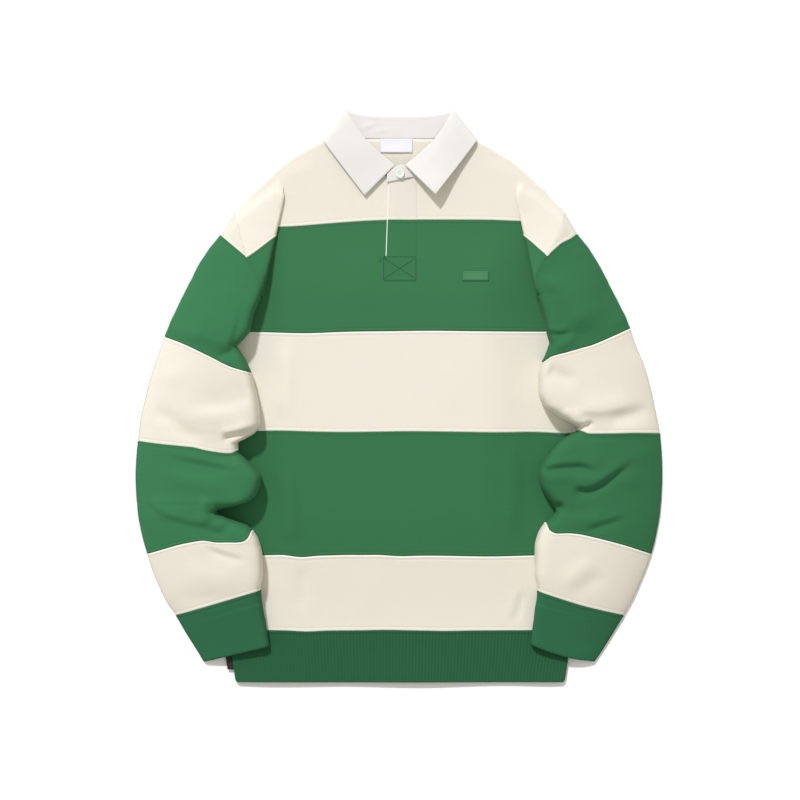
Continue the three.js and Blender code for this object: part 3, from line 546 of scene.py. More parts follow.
def shell(node, grid, wall, material, sewn=(0, 0, 0, 0), ribs=None):
    """The closed sheet that stands for a node, from a grid of points half way through its wall.

    sewn says which borders are sewn: first row, last row, first column, last column."""
    u, v = runs(grid)
    borders = [v, v[-1:] - v, u, u[:, -1:] - u]
    borders = [b if on else np.full_like(b, NO_SEAM) for b, on in zip(borders, sewn)]
    normals = normals_of(grid)
    lift = seam_relief(np.minimum(borders[0], borders[1])) * (wall / CLOTH)
    lift = lift + SIDE_SEAM_SHARE * seam_relief(np.minimum(borders[2], borders[3])) * (wall / CLOTH)
    rows, cols = grid.shape[:2]
    top = grid + normals * (wall / 2 + lift)[..., None]
    under = grid - normals * (wall / 2)
    if ribs is not None:
        top = top + normals * ribs[..., None]
    loop = [(0, j) for j in range(cols)] + [(i, cols - 1) for i in range(1, rows)]
    loop += [(rows - 1, j) for j in range(cols - 2, -1, -1)] + [(i, 0) for i in range(rows - 2, 0, -1)]
    inner = [(min(max(i, 1), rows - 2), min(max(j, 1), cols - 2)) for i, j in loop]
    out = np.array([grid[a] - grid[b] for a, b in zip(loop, inner)])
    out /= np.maximum(np.linalg.norm(out, axis=1, keepdims=True), 1e-9)
    rim = np.array([(top[a] + under[a]) / 2 for a in loop]) + out * wall * RIM
    points = np.concatenate([top.reshape(-1, 3), under.reshape(-1, 3), rim])
    points[:, 2] = np.maximum(points[:, 2], 0)
    count = rows * cols
    ids = np.arange(count).reshape(rows, cols)
    quads = np.stack([ids[:-1, :-1], ids[:-1, 1:], ids[1:, 1:], ids[1:, :-1]], axis=-1).reshape(-1, 4)
    edge = np.array([i * cols + j for i, j in loop])
    ring = 2 * count + np.arange(len(loop))
    after = np.roll(np.arange(len(loop)), -1)
    faces = np.concatenate([
        quads,
        quads[:, ::-1] + count,
        np.stack([edge[after], edge, ring, ring[after]], axis=1),
        np.stack([ring[after], ring, edge + count, edge[after] + count], axis=1),
    ])
    piece = make_piece(node + "_cloth", points, faces.tolist(), material, [node])
    mesh = piece.data
    corner = np.empty(len(mesh.loops), int)
    mesh.loops.foreach_get("vertex_index", corner)
    for layer_name, pair in (("cloth", (u, v)), ("stripe", borders[:2]), ("seam", borders[2:])):
        at_points = [np.concatenate([a.ravel(), a.ravel(), a.ravel()[edge]]) for a in pair]
        layer = mesh.uv_layers.new(name=layer_name)
        values = np.stack(at_points, axis=1)[corner] / 1000
        layer.data.foreach_set("uv", values.reshape(-1).astype(np.float32))


def turn_out(mesh):
    """Turns a closed mesh's faces outward and shades it smooth."""
    work = bmesh.new()
    work.from_mesh(mesh)
    bmesh.ops.recalc_face_normals(work, faces=work.faces)
    work.to_mesh(mesh)
    work.free()
    mesh.polygons.foreach_set("use_smooth", [True] * len(mesh.polygons))
    mesh.update()


# ---- materials ---------------------------------------------------------------------------------
def srgb(*values):
    """Colour from the 0 to 255 values of a screen."""
    linear = [v / 255 for v in values]
    linear = [v / 12.92 if v <= 0.04045 else ((v + 0.055) / 1.055) ** 2.4 for v in linear]
    return (*linear, 1.0)


class Nodes:
    """A material's node tree with short calls for what the cloths share."""

    def __init__(self, name):
        self.material = bpy.data.materials.new(name)
        self.material.use_nodes = True
        self.tree = self.material.node_tree
        self.shader = self.tree.nodes["Principled BSDF"]

    def add(self, kind, **inputs):
        node = self.tree.nodes.new(kind)
        for key, value in inputs.items():
            self.put(node, key, value)
        return node

    def put(self, node, key, value):
        """Sets or links an input, named with _ for a space, or by its number after a _."""
        socket = node.inputs[int(key[1:])] if key[0] == "_" else node.inputs[key.replace("_", " ")]
        if isinstance(value, bpy.types.NodeSocket):
            self.tree.links.new(value, socket)
        else:
            socket.default_value = value

    def set_shader(self, **sockets):
        for key, value in sockets.items():
            self.put(self.shader, key, value)

    def finish(self, height, strength, depth, **sockets):
        """Sets the shader's sockets and the bump, and gives the material."""
        self.set_shader(**sockets)
        bump = self.add("ShaderNodeBump", Strength=strength, Distance=depth, Height=height)
        self.put(self.shader, "Normal", bump.outputs["Normal"])
        return self.material

    def math(self, operation, a, b=0.0, c=None, clamp=False):
        node = self.tree.nodes.new("ShaderNodeMath")
        node.operation = operation
        node.use_clamp = clamp
        for k, value in enumerate((a, b) if c is None else (a, b, c)):
            self.put(node, f"_{k}", value)
        return node.outputs[0]

    def uv(self, name):
        node = self.tree.nodes.new("ShaderNodeUVMap")
        node.uv_map = name
        split = self.add("ShaderNodeSeparateXYZ", Vector=node.outputs["UV"])
        return split.outputs["X"], split.outputs["Y"]

    def near(self, value, centre, width):
        """1 at centre, falling to 0 at width either side."""
        away = self.math("ABSOLUTE", self.math("SUBTRACT", value, centre))
        return self.math("SUBTRACT", 1.0, self.math("DIVIDE", away, width), clamp=True)

    def mix(self, factor, a, b):
        node = self.tree.nodes.new("ShaderNodeMix")
        node.data_type = "RGBA"
        self.put(node, "_0", factor)
        self.put(node, "_6", a)
        self.put(node, "_7", b)
        return node.outputs[2]

    def noise(self, scale, detail=2.0, stretch=None, roughness=0.5):
        place = self.add("ShaderNodeTexCoord").outputs["Object"]
        if stretch:
            place = self.add("ShaderNodeMapping", Vector=place, Scale=stretch).outputs[0]
        node = self.add("ShaderNodeTexNoise", Vector=place, Scale=scale, Detail=detail, Roughness=roughness)
        return node.outputs["Fac"]


def wave(nodes, value, pitch, phase=0.0):
    """A sine from 0 to 1 along a length in metres."""
    angle = nodes.math("MULTIPLY_ADD", value, 2 * math.pi / pitch, phase)
    return nodes.math("MULTIPLY_ADD", nodes.math("SINE", angle), 0.5, 0.5)


def darker(colour, share):
    return tuple(c * share for c in colour[:3]) + (1.0,)


# places beside a sewn border, in metres: its turned edge, its twin stitch line, a side seam's line
EDGE_AT, EDGE_WIDTH = 0.0008, 0.0012
STITCH_AT, STITCH_WIDTH, STITCH_PITCH = 0.0045, 0.0007, 0.0032
LINE_AT, LINE_WIDTH = 0.003, 0.0008
GRAIN = 0.35  # of the tone that comes from the nap's fine noise, then from streaks and from the knit
STREAKS = 0.3
KNIT = 0.2


def cloth_material(name, colour, shade, seam_colour, pitch, sheen=0.03, scatter=0.0):
    """Knitted cloth: wales and courses, a faint mottle, and the sewn borders' edge and stitches."""
    n = Nodes(name)
    u, v = n.uv("cloth")
    stripe = n.math("MINIMUM", *n.uv("stripe"))
    side = n.math("MINIMUM", *n.uv("seam"))
    knit = n.math("MULTIPLY", wave(n, u, pitch), wave(n, v, pitch * 0.8))
    fine = n.noise(1500, 3.0, roughness=0.65)
    streaks = n.noise(60, 4.0, stretch=(1.0, 9.0, 1.0), roughness=0.7)
    mottle = n.math("MULTIPLY_ADD", streaks, STREAKS, n.math("MULTIPLY", knit, KNIT))
    tone = n.mix(n.math("MULTIPLY_ADD", fine, GRAIN, mottle), shade, colour)
    edge = n.math("MULTIPLY", n.near(stripe, EDGE_AT, EDGE_WIDTH), 0.85)
    dash = n.math("GREATER_THAN", wave(n, u, STITCH_PITCH), 0.3)
    stitch = n.math("MULTIPLY", n.near(stripe, STITCH_AT, STITCH_WIDTH), dash)
    stitch = n.math("MULTIPLY", stitch, 0.35)
    line = n.math("MULTIPLY", n.near(side, LINE_AT, LINE_WIDTH), 0.4)
    coloured = n.mix(stitch, n.mix(edge, tone, seam_colour), darker(shade, 0.8))
    coloured = n.mix(line, coloured, darker(shade, 0.7))
    height = n.math("MULTIPLY_ADD", knit, 0.5, n.math("MULTIPLY", fine, 0.8))
    return n.finish(
        n.math("MULTIPLY_ADD", stitch, -0.8, height), 0.35, 0.0003,
        Base_Color=coloured, Roughness=0.92, Specular_IOR_Level=0.12,
        Sheen_Weight=sheen, Sheen_Roughness=0.4,
        Subsurface_Weight=scatter, Subsurface_Radius=(1.0, 0.8, 0.5), Subsurface_Scale=0.008,
    )


def twill_material(name, colour, shade):
    """Woven cotton twill: fine slanting wales."""
    n = Nodes(name)
    u, v = n.uv("cloth")
    slant = wave(n, n.math("ADD", u, v), 0.0011)
    weft = wave(n, n.math("SUBTRACT", u, n.math("MULTIPLY", v, 0.4)), 0.0007)
    weave = n.math("MULTIPLY_ADD", slant, 0.7, n.math("MULTIPLY", weft, 0.3))
    tone = n.math("MULTIPLY_ADD", n.noise(45, 3.0), 0.6, n.math("MULTIPLY", weave, 0.4))
    height = n.math("MULTIPLY_ADD", weave, 0.6, n.math("MULTIPLY", n.noise(1800), 0.4))
    return n.finish(
        height, 0.3, 0.00015,
        Base_Color=n.mix(tone, shade, colour), Roughness=0.8, Specular_IOR_Level=0.3, Sheen_Weight=0.1,
    )


def plain_material(name, colour, roughness, pitch=0.0008, depth=0.0001, **sockets):
    """Close weave or moulded surface with a fine grain."""
    n = Nodes(name)
    fine = n.noise(1.0 / pitch)
    tone = n.mix(n.math("MULTIPLY", fine, 0.5), colour, darker(colour, 0.86))
    return n.finish(fine, 0.25, depth, Base_Color=tone, Roughness=roughness, **sockets)


FLEECE_PITCH = 0.0014
RIB_PITCH = 0.0011


def fleece(name, colour, shade):
    """Cream cloth has a warm white edge at its seams and glows a little; green has a darker edge."""
    if name.startswith("cream"):
        return cloth_material(name, colour, shade, srgb(250, 248, 240), FLEECE_PITCH, scatter=0.15)
    return cloth_material(name, colour, shade, srgb(42, 98, 61), FLEECE_PITCH)


# One cream and one green fleece, given in copies of slightly different tone by region to match how light
# falls on each: painted light and shade. The sleeves' cream is painted darker than the body's. The body's
# green and the right sleeve's green are painted darker than the left sleeve's, the right sleeve's as shade on
# the side turned from the light.
CREAM = fleece("cream_fleece", srgb(230, 225, 211), srgb(221, 215, 200))
CREAM_BODY = fleece("cream_fleece_body", srgb(234, 229, 216), srgb(227, 220, 205))
GREEN = fleece("green_fleece", srgb(62, 127, 84), srgb(50, 108, 70))
GREEN_CHEST = fleece("green_fleece_chest", srgb(63, 124, 82), srgb(51, 106, 69))
GREEN_RIGHT_PAINTED_SHADE = fleece("green_fleece_right_painted_shade", srgb(58, 120, 79), srgb(46, 101, 66))
GREEN_BODY = fleece("green_fleece_body", srgb(59, 121, 79), srgb(47, 103, 66))
RIB_SHADE = srgb(36, 84, 55)
RIB = cloth_material("green_rib", srgb(45, 98, 66), RIB_SHADE, RIB_SHADE, RIB_PITCH, sheen=0.02)
CUFF = cloth_material(
    "green_cuff", srgb(52, 112, 78), srgb(42, 96, 65), srgb(38, 90, 58), RIB_PITCH, sheen=0.02,
)
COLLAR = twill_material("white_twill", srgb(227, 226, 223), srgb(218, 217, 213))
FACING = plain_material("white_tape", srgb(240, 240, 236), 0.8)
THREAD_DARK = plain_material("dark_green_thread", srgb(28, 72, 44), 0.8)
THREAD_GREEN = plain_material("green_thread", srgb(42, 96, 60), 0.7)
THREAD_WHITE = plain_material("white_thread", srgb(238, 238, 234), 0.7)
LABEL_WHITE = plain_material("white_label", srgb(232, 232, 240), 0.5)
LABEL_BLACK = plain_material("black_label", srgb(16, 16, 18), 0.7)
LABEL_GREEN = plain_material("green_label", srgb(56, 124, 78), 0.7)
PEARL = plain_material(
    "pearl_button", srgb(240, 240, 236), 0.22, pitch=0.004, depth=0.00002,
    Subsurface_Weight=0.3, Subsurface_Scale=0.002, Coat_Weight=0.5, Coat_Roughness=0.1,
)
# The right sleeve's green is the darker copy: painted shade on the side turned from the light.
SLEEVE_CLOTHS = {LEFT: {"cream": CREAM, "green": GREEN}, RIGHT: {"cream": CREAM, "green": GREEN_RIGHT_PAINTED_SHADE}}
BODY_CLOTHS = {"cream": CREAM_BODY, "green": GREEN_BODY}


# ---- body --------------------------------------------------------------------------------------
def border_wave(level, x):
    """How far a border wanders from its level."""
    return sum(height * bell(x - middle, spread) for middle, spread, height in WAVES.get(level, ()))


def mirror_columns(halves):
    return np.concatenate([-halves[:0:-1], halves])


def band_rows(low_y, high_y, step=3.0):
    return low_y + graded(high_y - low_y, step)


def wandering(y, x, low_y, high_y):
    """Moves a band's rows with the wander of its two borders."""
    share = (y - low_y) / (high_y - low_y)
    return y + (1 - share) * border_wave(low_y, x) + share * border_wave(high_y, x)


def front_band(name, low_y, high_y):
    """One of the front's lower bands, over its own back."""
    share = mirror_columns(np.concatenate([np.linspace(0, 0.9, 46), [0.93, 0.955, 0.975, 0.99, 1.0]]))
    y = band_rows(low_y, high_y)
    x = share[None, :] * side_at(y)[:, None]
    y = np.broadcast_to(y[:, None], x.shape)
    z = front_z(np.abs(x), y) + body_relief(x, y)
    grid = draw_in(np.stack([x, wandering(y, x, low_y, high_y), z], axis=-1))
    colour = name.split("_")[1]
    # The front's lowest cream band takes the sleeves' darker cream: painted shade, darker towards the bottom.
    cloth = CREAM if name == "front_cream_3" else BODY_CLOTHS[colour]
    shell(name, grid, CLOTH, cloth, sewn=(1, 1, 1, 1))


def body_relief(x, y):
    """Soft creases and the swell of the front between the sleeves."""
    half = np.abs(x)
    fall = 1 - np.where(x < 0, ease(*SWELL_FALL[LEFT], half), ease(*SWELL_FALL[RIGHT], half))
    swell = SWELL * fall * ease(*SWELL_START, y) * (1 - ease(*SWELL_END, y))
    return swell + creases(x, y, BODY_CREASES) * (1 - ease(*CREASES_END, half))


def draw_in(grid, first=SEAM_GAP, last=SEAM_GAP):
    """Draws the first and last rows back from a seam."""
    grid = grid.copy()
    for row, nxt, gap in ((0, 1, first), (-1, -2, last)):
        d = grid[nxt] - grid[row]
        size = np.linalg.norm(d, axis=1, keepdims=True)
        grid[row] += d * np.minimum(gap / np.maximum(size, 1e-9), 0.4)
    return grid


# columns by a fold, from its middle
BY_FOLD = np.array([-6, -4.5, -3.4, -2.7, -2.1, -1.6, -1.1, -0.6, 0, 0.6, 1.1, 1.6, 2.1, 2.7, 3.4, 4.5, 6])
LEAST_DROP = 16.0  # nearer to the pleat's start the columns stay as they are here
LEAST_STEP = 0.12  # between two columns


def pleated_columns(y, edge):
    """Half widths of a row of the pleated front's cut, close together at its two folds."""
    drop = max(APEX[1] - y, LEAST_DROP)
    hidden = APEX[0] + drop * math.tan(HIDDEN)
    crease = APEX[0] + drop * math.tan(TURN)
    reach = min(BY_FOLD[-1], 0.42 * (crease - hidden))
    tight = BY_FOLD * (reach / BY_FOLD[-1])
    between = np.linspace(0, 1, 8)[1:-1]
    last = max(crease + reach, edge - 12)
    columns = np.concatenate([
        np.linspace(0, 1, 44)[:-1] * (hidden - reach),
        hidden + tight,
        hidden + reach + between * (crease - hidden - 2 * reach),
        crease + tight,
        np.linspace(crease + reach, last, 12)[1:],
        np.linspace(last, edge, 7)[1:],
    ])
    return np.minimum(columns, edge - LEAST_STEP * np.arange(len(columns))[::-1])


PLEATED_STEP = 2.6  # between rows
YOKE_TOP = 664.0  # the yoke's columns end as at this height
BORDER_DROP = (170, 240)  # half widths over which the upper border drops
BORDER_ZONE = 40.0  # rows this near the upper border follow it
ON_BODY = 168.0  # half width up to which the upper border wanders
LYING = 176.0  # and up to which the cloth takes the body's creases


def pleated_front():
    """The upper two bands of the front: one grid in the cut, laid down with both pleats."""
    low_y, high_y = STRIPES[2], STRIPES[3]
    rows = []
    for y in band_rows(low_y, high_y, PLEATED_STEP):
        half = pleated_columns(y, read(ARMHOLE, y) - SEAM_GAP)
        rows.append((np.full_like(half, y), half))
    split = len(rows)
    shares = graded(100.0, PLEATED_STEP, True, False) / 100.0
    for share in shares:
        edge = (1 - share) * ARMHOLE[-2][1] + share * ARMHOLE[-1][1] - SEAM_GAP
        half = pleated_columns((1 - share) * high_y + share * YOKE_TOP, edge)
        rows.append((high_y + share * (top_at(half) - high_y), half))
    y = np.array([r[0] for r in rows])
    half = np.array([r[1] for r in rows])
    # the border between the bands drops toward the armhole
    drop = (high_y - BORDER_AT_ARMHOLE) * ease(*BORDER_DROP, half)
    y = y - drop * ease(low_y + BORDER_ZONE, high_y, y) * (1 - ease(high_y, high_y + BORDER_ZONE, y))
    x, laid_y, z, upper = lay_front(half, y)
    sides = []
    for side in (LEFT, RIGHT):
        laid_x = side * x
        puff = upper * upper_puff(laid_x, laid_y, side)
        level = ease(low_y, high_y, y) * (1 - ease(high_y, high_y + 30, y))
        own_y = laid_y + level * border_wave(high_y, side * half) * (1 - upper) * (half < ON_BODY)
        own_y = own_y + (1 - ease(low_y, low_y + 60, y)) * border_wave(low_y, side * half)
        lying = (1 - upper) * (half < LYING)
        # the top edge is drawn onto the outline
        past = own_y[-1] - smooth(*zip(*SHOULDER), np.abs(laid_x[-1]))
        in_yoke = np.concatenate([np.zeros(split), ease(0, 1, shares)])[:, None]
        own_y = own_y - past * (half[-1] > 90) * in_yoke
        height = z + puff + body_relief(laid_x, own_y) * lying
        if side == RIGHT:
            laid_x, own_y = settle(laid_x, own_y, upper)
        sides.append(np.stack([laid_x, own_y, height], axis=-1))
    grid = np.concatenate([sides[0][:, :0:-1], sides[1]], axis=1)
    for name, part, colour, sewn in (
        ("front_green_1", grid[:split], "green", (1, 1, 1, 1)),
        ("front_cream_1", grid[split:], "cream", (1, 0, 0, 0)),
    ):
        part = draw_in(part, SEAM_GAP, SEAM_GAP if sewn[1] else 0)
        cloth = GREEN_CHEST if colour == "green" else CREAM_BODY
        shell(name, part, CLOTH, cloth, sewn=sewn)


def build_back():
    """The back's bands, pressed flat by the surface that they lie on."""
    flat = CLOTH / 2
    share = mirror_columns(np.linspace(0, 1, 40))
    levels = (RIB_TOP,) + STRIPES
    names = ("back_cream_3", "back_green_2", "back_cream_2", "back_green_1")
    for name, low_y, high_y in zip(names, levels, levels[1:]):
        y = band_rows(low_y, high_y, 6.0)
        edge = np.where(y <= STRIPES[2], side_at(y), read(BACK_ARMHOLE, y))
        x = share[None, :] * edge[:, None]
        y = np.broadcast_to(y[:, None], x.shape)
        back_piece(name, draw_in(np.stack([x, y, np.full(x.shape, flat)], axis=-1)))
    half = np.concatenate([np.linspace(0, 75, 16), [79, 83, 88, 94, 100], np.linspace(106, 208.5, 20)])
    x = mirror_columns(half)
    share = graded(100.0, 4.0, True, False)[:, None] / 100
    y = STRIPES[3] + share * (read(BACK_TOP, np.abs(x)) - STRIPES[3])[None, :]
    x = np.broadcast_to(x[None, :], y.shape)
    grid = np.stack([x, y, flat + neck_lift(np.abs(x), y)], axis=-1)
    back_piece("back_cream_1", draw_in(grid, SEAM_GAP, 0))


def back_piece(name, grid):
    colour = name.split("_")[1]
    shell(name, grid, CLOTH, BODY_CLOTHS[colour], sewn=(1, 1, 1, 1))


def rib_wave(around, count, depth, roundness):
    """Height of knitted ribs: a wave with steep flanks, count times round."""
    sine = np.sin(2 * math.pi * count * around)
    return depth * np.sign(sine) * np.abs(sine) ** roundness


HEM_RIBS = 207
RIB_DEPTH, CUFF_RIB_DEPTH = 0.34, 0.16
RIB_ROUND_IN = 4.0  # the rib's sides round in below this height above its edge
RIB_WAVES = ((31, 0.6, 0.8), (57, 2.0, 0.6))  # length over 2 pi, start and height
RIB_SWELL = 1.1
RIB_HALF = 215.0


def build_hem_rib():
    """One band round both layers, closed at the left side, with real ribs."""
    low_z = RIB_CLOTH / 2
    mid_z = (low_z + RIB_FRONT_Z) / 2
    radius = (RIB_FRONT_Z - low_z) / 2
    by_hem = HEM + np.array([0, 0.5, 1.2, 2.4])
    by_seam = RIB_TOP - np.array([9, 7, 5.8, 5, 4.4, 3.8, 3, 2.2, 1.5, 0.9, 0.4, 0])
    straight = np.linspace(-1, 1, 560)
    turn = np.linspace(-math.pi / 2, math.pi / 2, 11)[1:-1]
    rows = []
    for level in np.concatenate([by_hem, np.linspace(6, 56, 12), by_seam]):
        half = float(side_at(level)) - radius - RIB_CLOTH / 2
        round_in = max(0.0, HEM + RIB_ROUND_IN - level)
        half -= round_in * round_in / 8 * 0.9
        front = [(t * half, RIB_FRONT_Z) for t in straight]
        right = [(half + radius * math.cos(a), mid_z - radius * math.sin(a)) for a in turn]
        back = [(-t * half, low_z) for t in straight[::2]]
        left = [(-half - radius * math.cos(a), mid_z + radius * math.sin(a)) for a in turn]
        middle = len(left) // 2
        line = left[middle + 1:] + front + right + back + left[:middle]
        rows.append([(x, level, z) for x, z in line])
    grid = np.array(rows)
    x, y = grid[..., 0], grid[..., 1]
    upper = grid[..., 2] > mid_z
    y += border_wave(RIB_TOP, x) * ease(20, RIB_TOP, y) * upper
    # the front layer lies in low waves at its lower edge
    swell = 1.0 + sum(high * np.sin(x / long + phase) for long, phase, high in RIB_WAVES)
    edge_off = 1 - ease(0.85, 1.0, np.abs(x) / RIB_HALF)
    grid[..., 2] += upper * edge_off * (1 - ease(2, 50, y)) * swell * RIB_SWELL
    around = run_of(grid[6])
    ribs = rib_wave(around / around[-1], HEM_RIBS, RIB_DEPTH, 0.7)
    fade = ease(0, 1.5, y - HEM) * (1 - 0.6 * ease(RIB_TOP - 4, RIB_TOP, y))
    grid = draw_in(grid, 0, SEAM_GAP)
    shell("hem_rib", grid, RIB_CLOTH, RIB, sewn=(0, 1, 0, 0), ribs=ribs * fade)


# ---- sleeves -----------------------------------------------------------------------------------
# A section's columns: its squeezed edge and a quarter of a fold, which are its head, then the upper
# layer, the turn at the outer edge, and the lower layer
HOOK = np.linspace(0, 1, 9)
QUARTER = np.linspace(0, math.pi / 2, 5)
ARC = np.linspace(0, math.pi, 82)
ACROSS = (0.5 - 0.5 * np.cos(ARC) * (1 - 0.25 * np.sin(ARC) ** 2))[1:-1]
OUTER_TURN = np.linspace(math.pi / 2, -math.pi / 2, 9)[1:]
BELOW = np.linspace(0, 1, 26)[1:]
HEAD = len(HOOK) + len(QUARTER) - 1
UPPER_LAYER = slice(HEAD, HEAD + len(ACROSS))
LOW_Z = CLOTH / 2
OUT_Z = LOW_Z + 2 * FOLD
OPEN_HEAD = 2.5  # width of the head where a section starts on the upper layer
CREASE_HEAD = 2.0  # and its most where it starts under the visible crease
FOLD_REACH = 4.0  # the upper layer comes up from a fold over this width
CUFF_RIBS = 96
BOW_REACH = 15.0
ARMHOLE_FINE, ARMHOLE_END = 497.0, 475.0  # heights of the armhole seam where its rows widen, and end


def seam_points(seam, side, puffed):
    """The sleeve's edge by height of the armhole seam, and 1 where that is on the upper layer."""
    x, y, z, upper = lay_front(read(ARMHOLE, seam) - SLEEVE_LAP, seam)
    z = z + LAP_LIFT
    if puffed:
        z = z + upper * upper_puff(x, y, side)
        if side == RIGHT:
            x, y = settle(x, y, 1.0)
    return np.stack([x, y, z], axis=-1), upper


def upper_layer(inner, outer, t, base):
    """The upper layer before it is puffed up: straight from the inner edge to the outer one."""
    return np.column_stack([inner + (outer - inner) * t[:, None], base + (OUT_Z - base) * t])


def folded_head(lead, inner, width):
    """A section's head turned over at its inner edge, and the base of the upper layer."""
    near, low = lead[-1, :2], lead[-1, 2]
    xy = near + (inner - near) * np.sin(QUARTER)[1:, None]
    head = np.concatenate([lead, np.column_stack([xy, low + FOLD * (1 - np.cos(QUARTER))[1:]])])
    return head, head[-1, 2] + FOLD * ease(0, FOLD_REACH / width, ACROSS)


def upper_section(seam, outer, back_y, side):
    """A section above the armpit: from the front's armhole round to the back's."""
    start, upper = seam_points(seam, side, puffed=False)
    outer = np.array(outer)
    if upper < 0.5:
        radius, angle = around_apex(*start[:2])
        crease = math.radians(float(read(CREASE_ANGLES[side], radius)))
        inner = from_apex(radius, crease)
        stop = crease + min(CREASE_HEAD / radius, (angle - crease) / 2)
        xy = from_apex(radius, angle + (stop - angle) * HOOK)
        lead = np.column_stack([xy, front_z(xy[:, 0], xy[:, 1]) + 2 * FOLD])
        lead[0, 2] = start[2]
        t = ACROSS
        head, base = folded_head(lead, inner, np.linalg.norm(outer - inner))
    else:
        inner, base = start[:2], start[2]
        first = OPEN_HEAD / np.linalg.norm(outer - inner)
        t = first + (1 - first) * ACROSS
        head = upper_layer(inner, outer, np.linspace(0, first, HEAD), base)
    end = np.array([float(read(BACK_ARMHOLE, back_y)) + SEAM_GAP, back_y])
    return join_section(head, upper_layer(inner, outer, t, base), outer, end)


def join_section(head, top, outer, end):
    """Closes a section: round the outer edge and back along the lower layer."""
    inward = (end - outer) / max(np.linalg.norm(end - outer), 1e-6)
    edge = outer + inward * (FOLD * (1 - np.cos(OUTER_TURN)))[:, None]
    edge_z = LOW_Z + FOLD + FOLD * np.sin(OUTER_TURN)
    under = edge[-1] + (end - edge[-1]) * BELOW[:, None]
    under_z = rest_z(under[:, 0], under[:, 1]) + LOW_Z
    return np.concatenate([head, top, np.column_stack([edge, edge_z]), np.column_stack([under, under_z])])


def lower_section(row):
    """A section below the armpit, closed at the underarm seam on its lower layer."""
    inner, outer, seam = row[0:2], row[2:4], row[4:6]
    width = np.linalg.norm(outer - inner)
    near = inner + (outer - inner) * (FOLD / width)
    start = seam + (near - seam) * (SEAM_GAP / max(np.linalg.norm(near - seam), 1e-6))
    xy = start + (near - start) * HOOK[:, None]
    lead = np.column_stack([xy, rest_z(xy[:, 0], xy[:, 1]) + LOW_Z])
    head, base = folded_head(lead, inner, width)
    end = seam + (outer - seam) * (SEAM_GAP / np.linalg.norm(outer - seam))
    return join_section(head, upper_layer(inner, outer, ACROSS, base), outer, end)


def sleeve_grid(side):
    """Rows of sections down the sleeve, with puff and creases, and the bands' first and last rows."""
    upper = np.array(UPPER[side], float)[::-1]
    lower = np.array(LOWER[side], float)
    fine_rows = graded(BORDER_AT_ARMHOLE - ARMHOLE_FINE, 2.0, True, False)[:-1]
    wide_rows = np.arange(ARMHOLE_FINE - 2, ARMHOLE_END - 1, -2.5)
    sections = []
    for seam in np.concatenate([BORDER_AT_ARMHOLE - fine_rows, wide_rows]):
        x, y, back = (float(np.interp(seam, upper[:, 0], upper[:, k])) for k in (1, 2, 3))
        sections.append(upper_section(seam, (x, y), back, side))
    # below the armpit: an even run of rows between those of the table, close at each border
    run = run_of((lower[:, 0:2] + lower[:, 2:4]) / 2)
    places = [np.linspace(0, run[2], 12)[:-1]]
    for name, first, last in BANDS[side]:
        places.append(run[first] + graded(run[last] - run[first], 1.9, True, name != "cuff")[:-1])
    places = np.concatenate(places + [[run[-1]]])
    rows = smooth(run, lower, places)
    closed = [lower_section(row) for row in rows]
    bridge = [sections[-1] + (closed[0] - sections[-1]) * t for t in np.linspace(0, 1, 7)[1:-1]]
    offset = len(sections) + len(bridge)
    at = [offset + int(np.argmin(np.abs(places - place))) for place in run]
    marks = [("green_1", 0, at[2])] + [(name, at[first], at[last]) for name, first, last in BANDS[side]]
    grid = np.array(sections + bridge + closed)
    bow_borders(grid[offset:], places, run, BOWS[side])
    puff = rows[:, 6]
    raise_top(grid, np.concatenate([np.full(offset, puff[0]), puff]), offset, side)
    return grid, marks


def share_across(grid):
    """Where each point of the upper layer is between the inner edge, 0, and the outer, 1."""
    inner, outer = grid[:, HEAD - 1, :2], grid[:, UPPER_LAYER.stop, :2]
    width = np.linalg.norm(outer - inner, axis=1)[:, None]
    return np.linalg.norm(grid[:, UPPER_LAYER, :2] - inner[:, None], axis=2) / width


def bow_borders(grid, places, run, bows):
    """Bows the rows of the upper layer by a border, less and less away from it."""
    share = share_across(grid)
    for row, table in bows:
        near = bell(places - run[row], BOW_REACH)[:, None]
        grid[:, UPPER_LAYER, 1] += near * smooth(*zip(*table), share.ravel()).reshape(share.shape)


def raise_top(grid, rise, offset, side):
    """Puffs up the upper layer and lays the creases into it."""
    head, top = grid[:, :HEAD], grid[:, UPPER_LAYER]
    x, y = top[..., 0], top[..., 1]
    share = share_across(grid)
    blend = ease(offset - 10, offset + 6, np.arange(len(grid)))[:, None]
    puff = upper_puff(x, y, side) * (1 - blend) + rise[:, None] * dome(share) * blend
    inside = ease(0, 0.02, share) * (1 - ease(0.93, 1.0, share))
    added = creases(side * x, y, SLEEVE_CREASES[side]) * inside
    top[..., 2] += np.maximum(puff + added, 0.15 * puff)
    # the heads of the sections that start on the upper layer, at the visible part of the armhole seam
    span = np.linalg.norm(head[:, -1, :2] - head[:, 0, :2], axis=1)
    on_top = ((span < OPEN_HEAD + 0.7) & (head[:, 0, 1] > 480))[:, None]
    head[..., 2] += np.where(on_top, upper_puff(head[..., 0], head[..., 1], side), 0)
    if side == RIGHT:
        for part, weight in ((top, 1), (head, on_top)):
            part[..., 0], part[..., 1] = settle(part[..., 0], part[..., 1], weight)


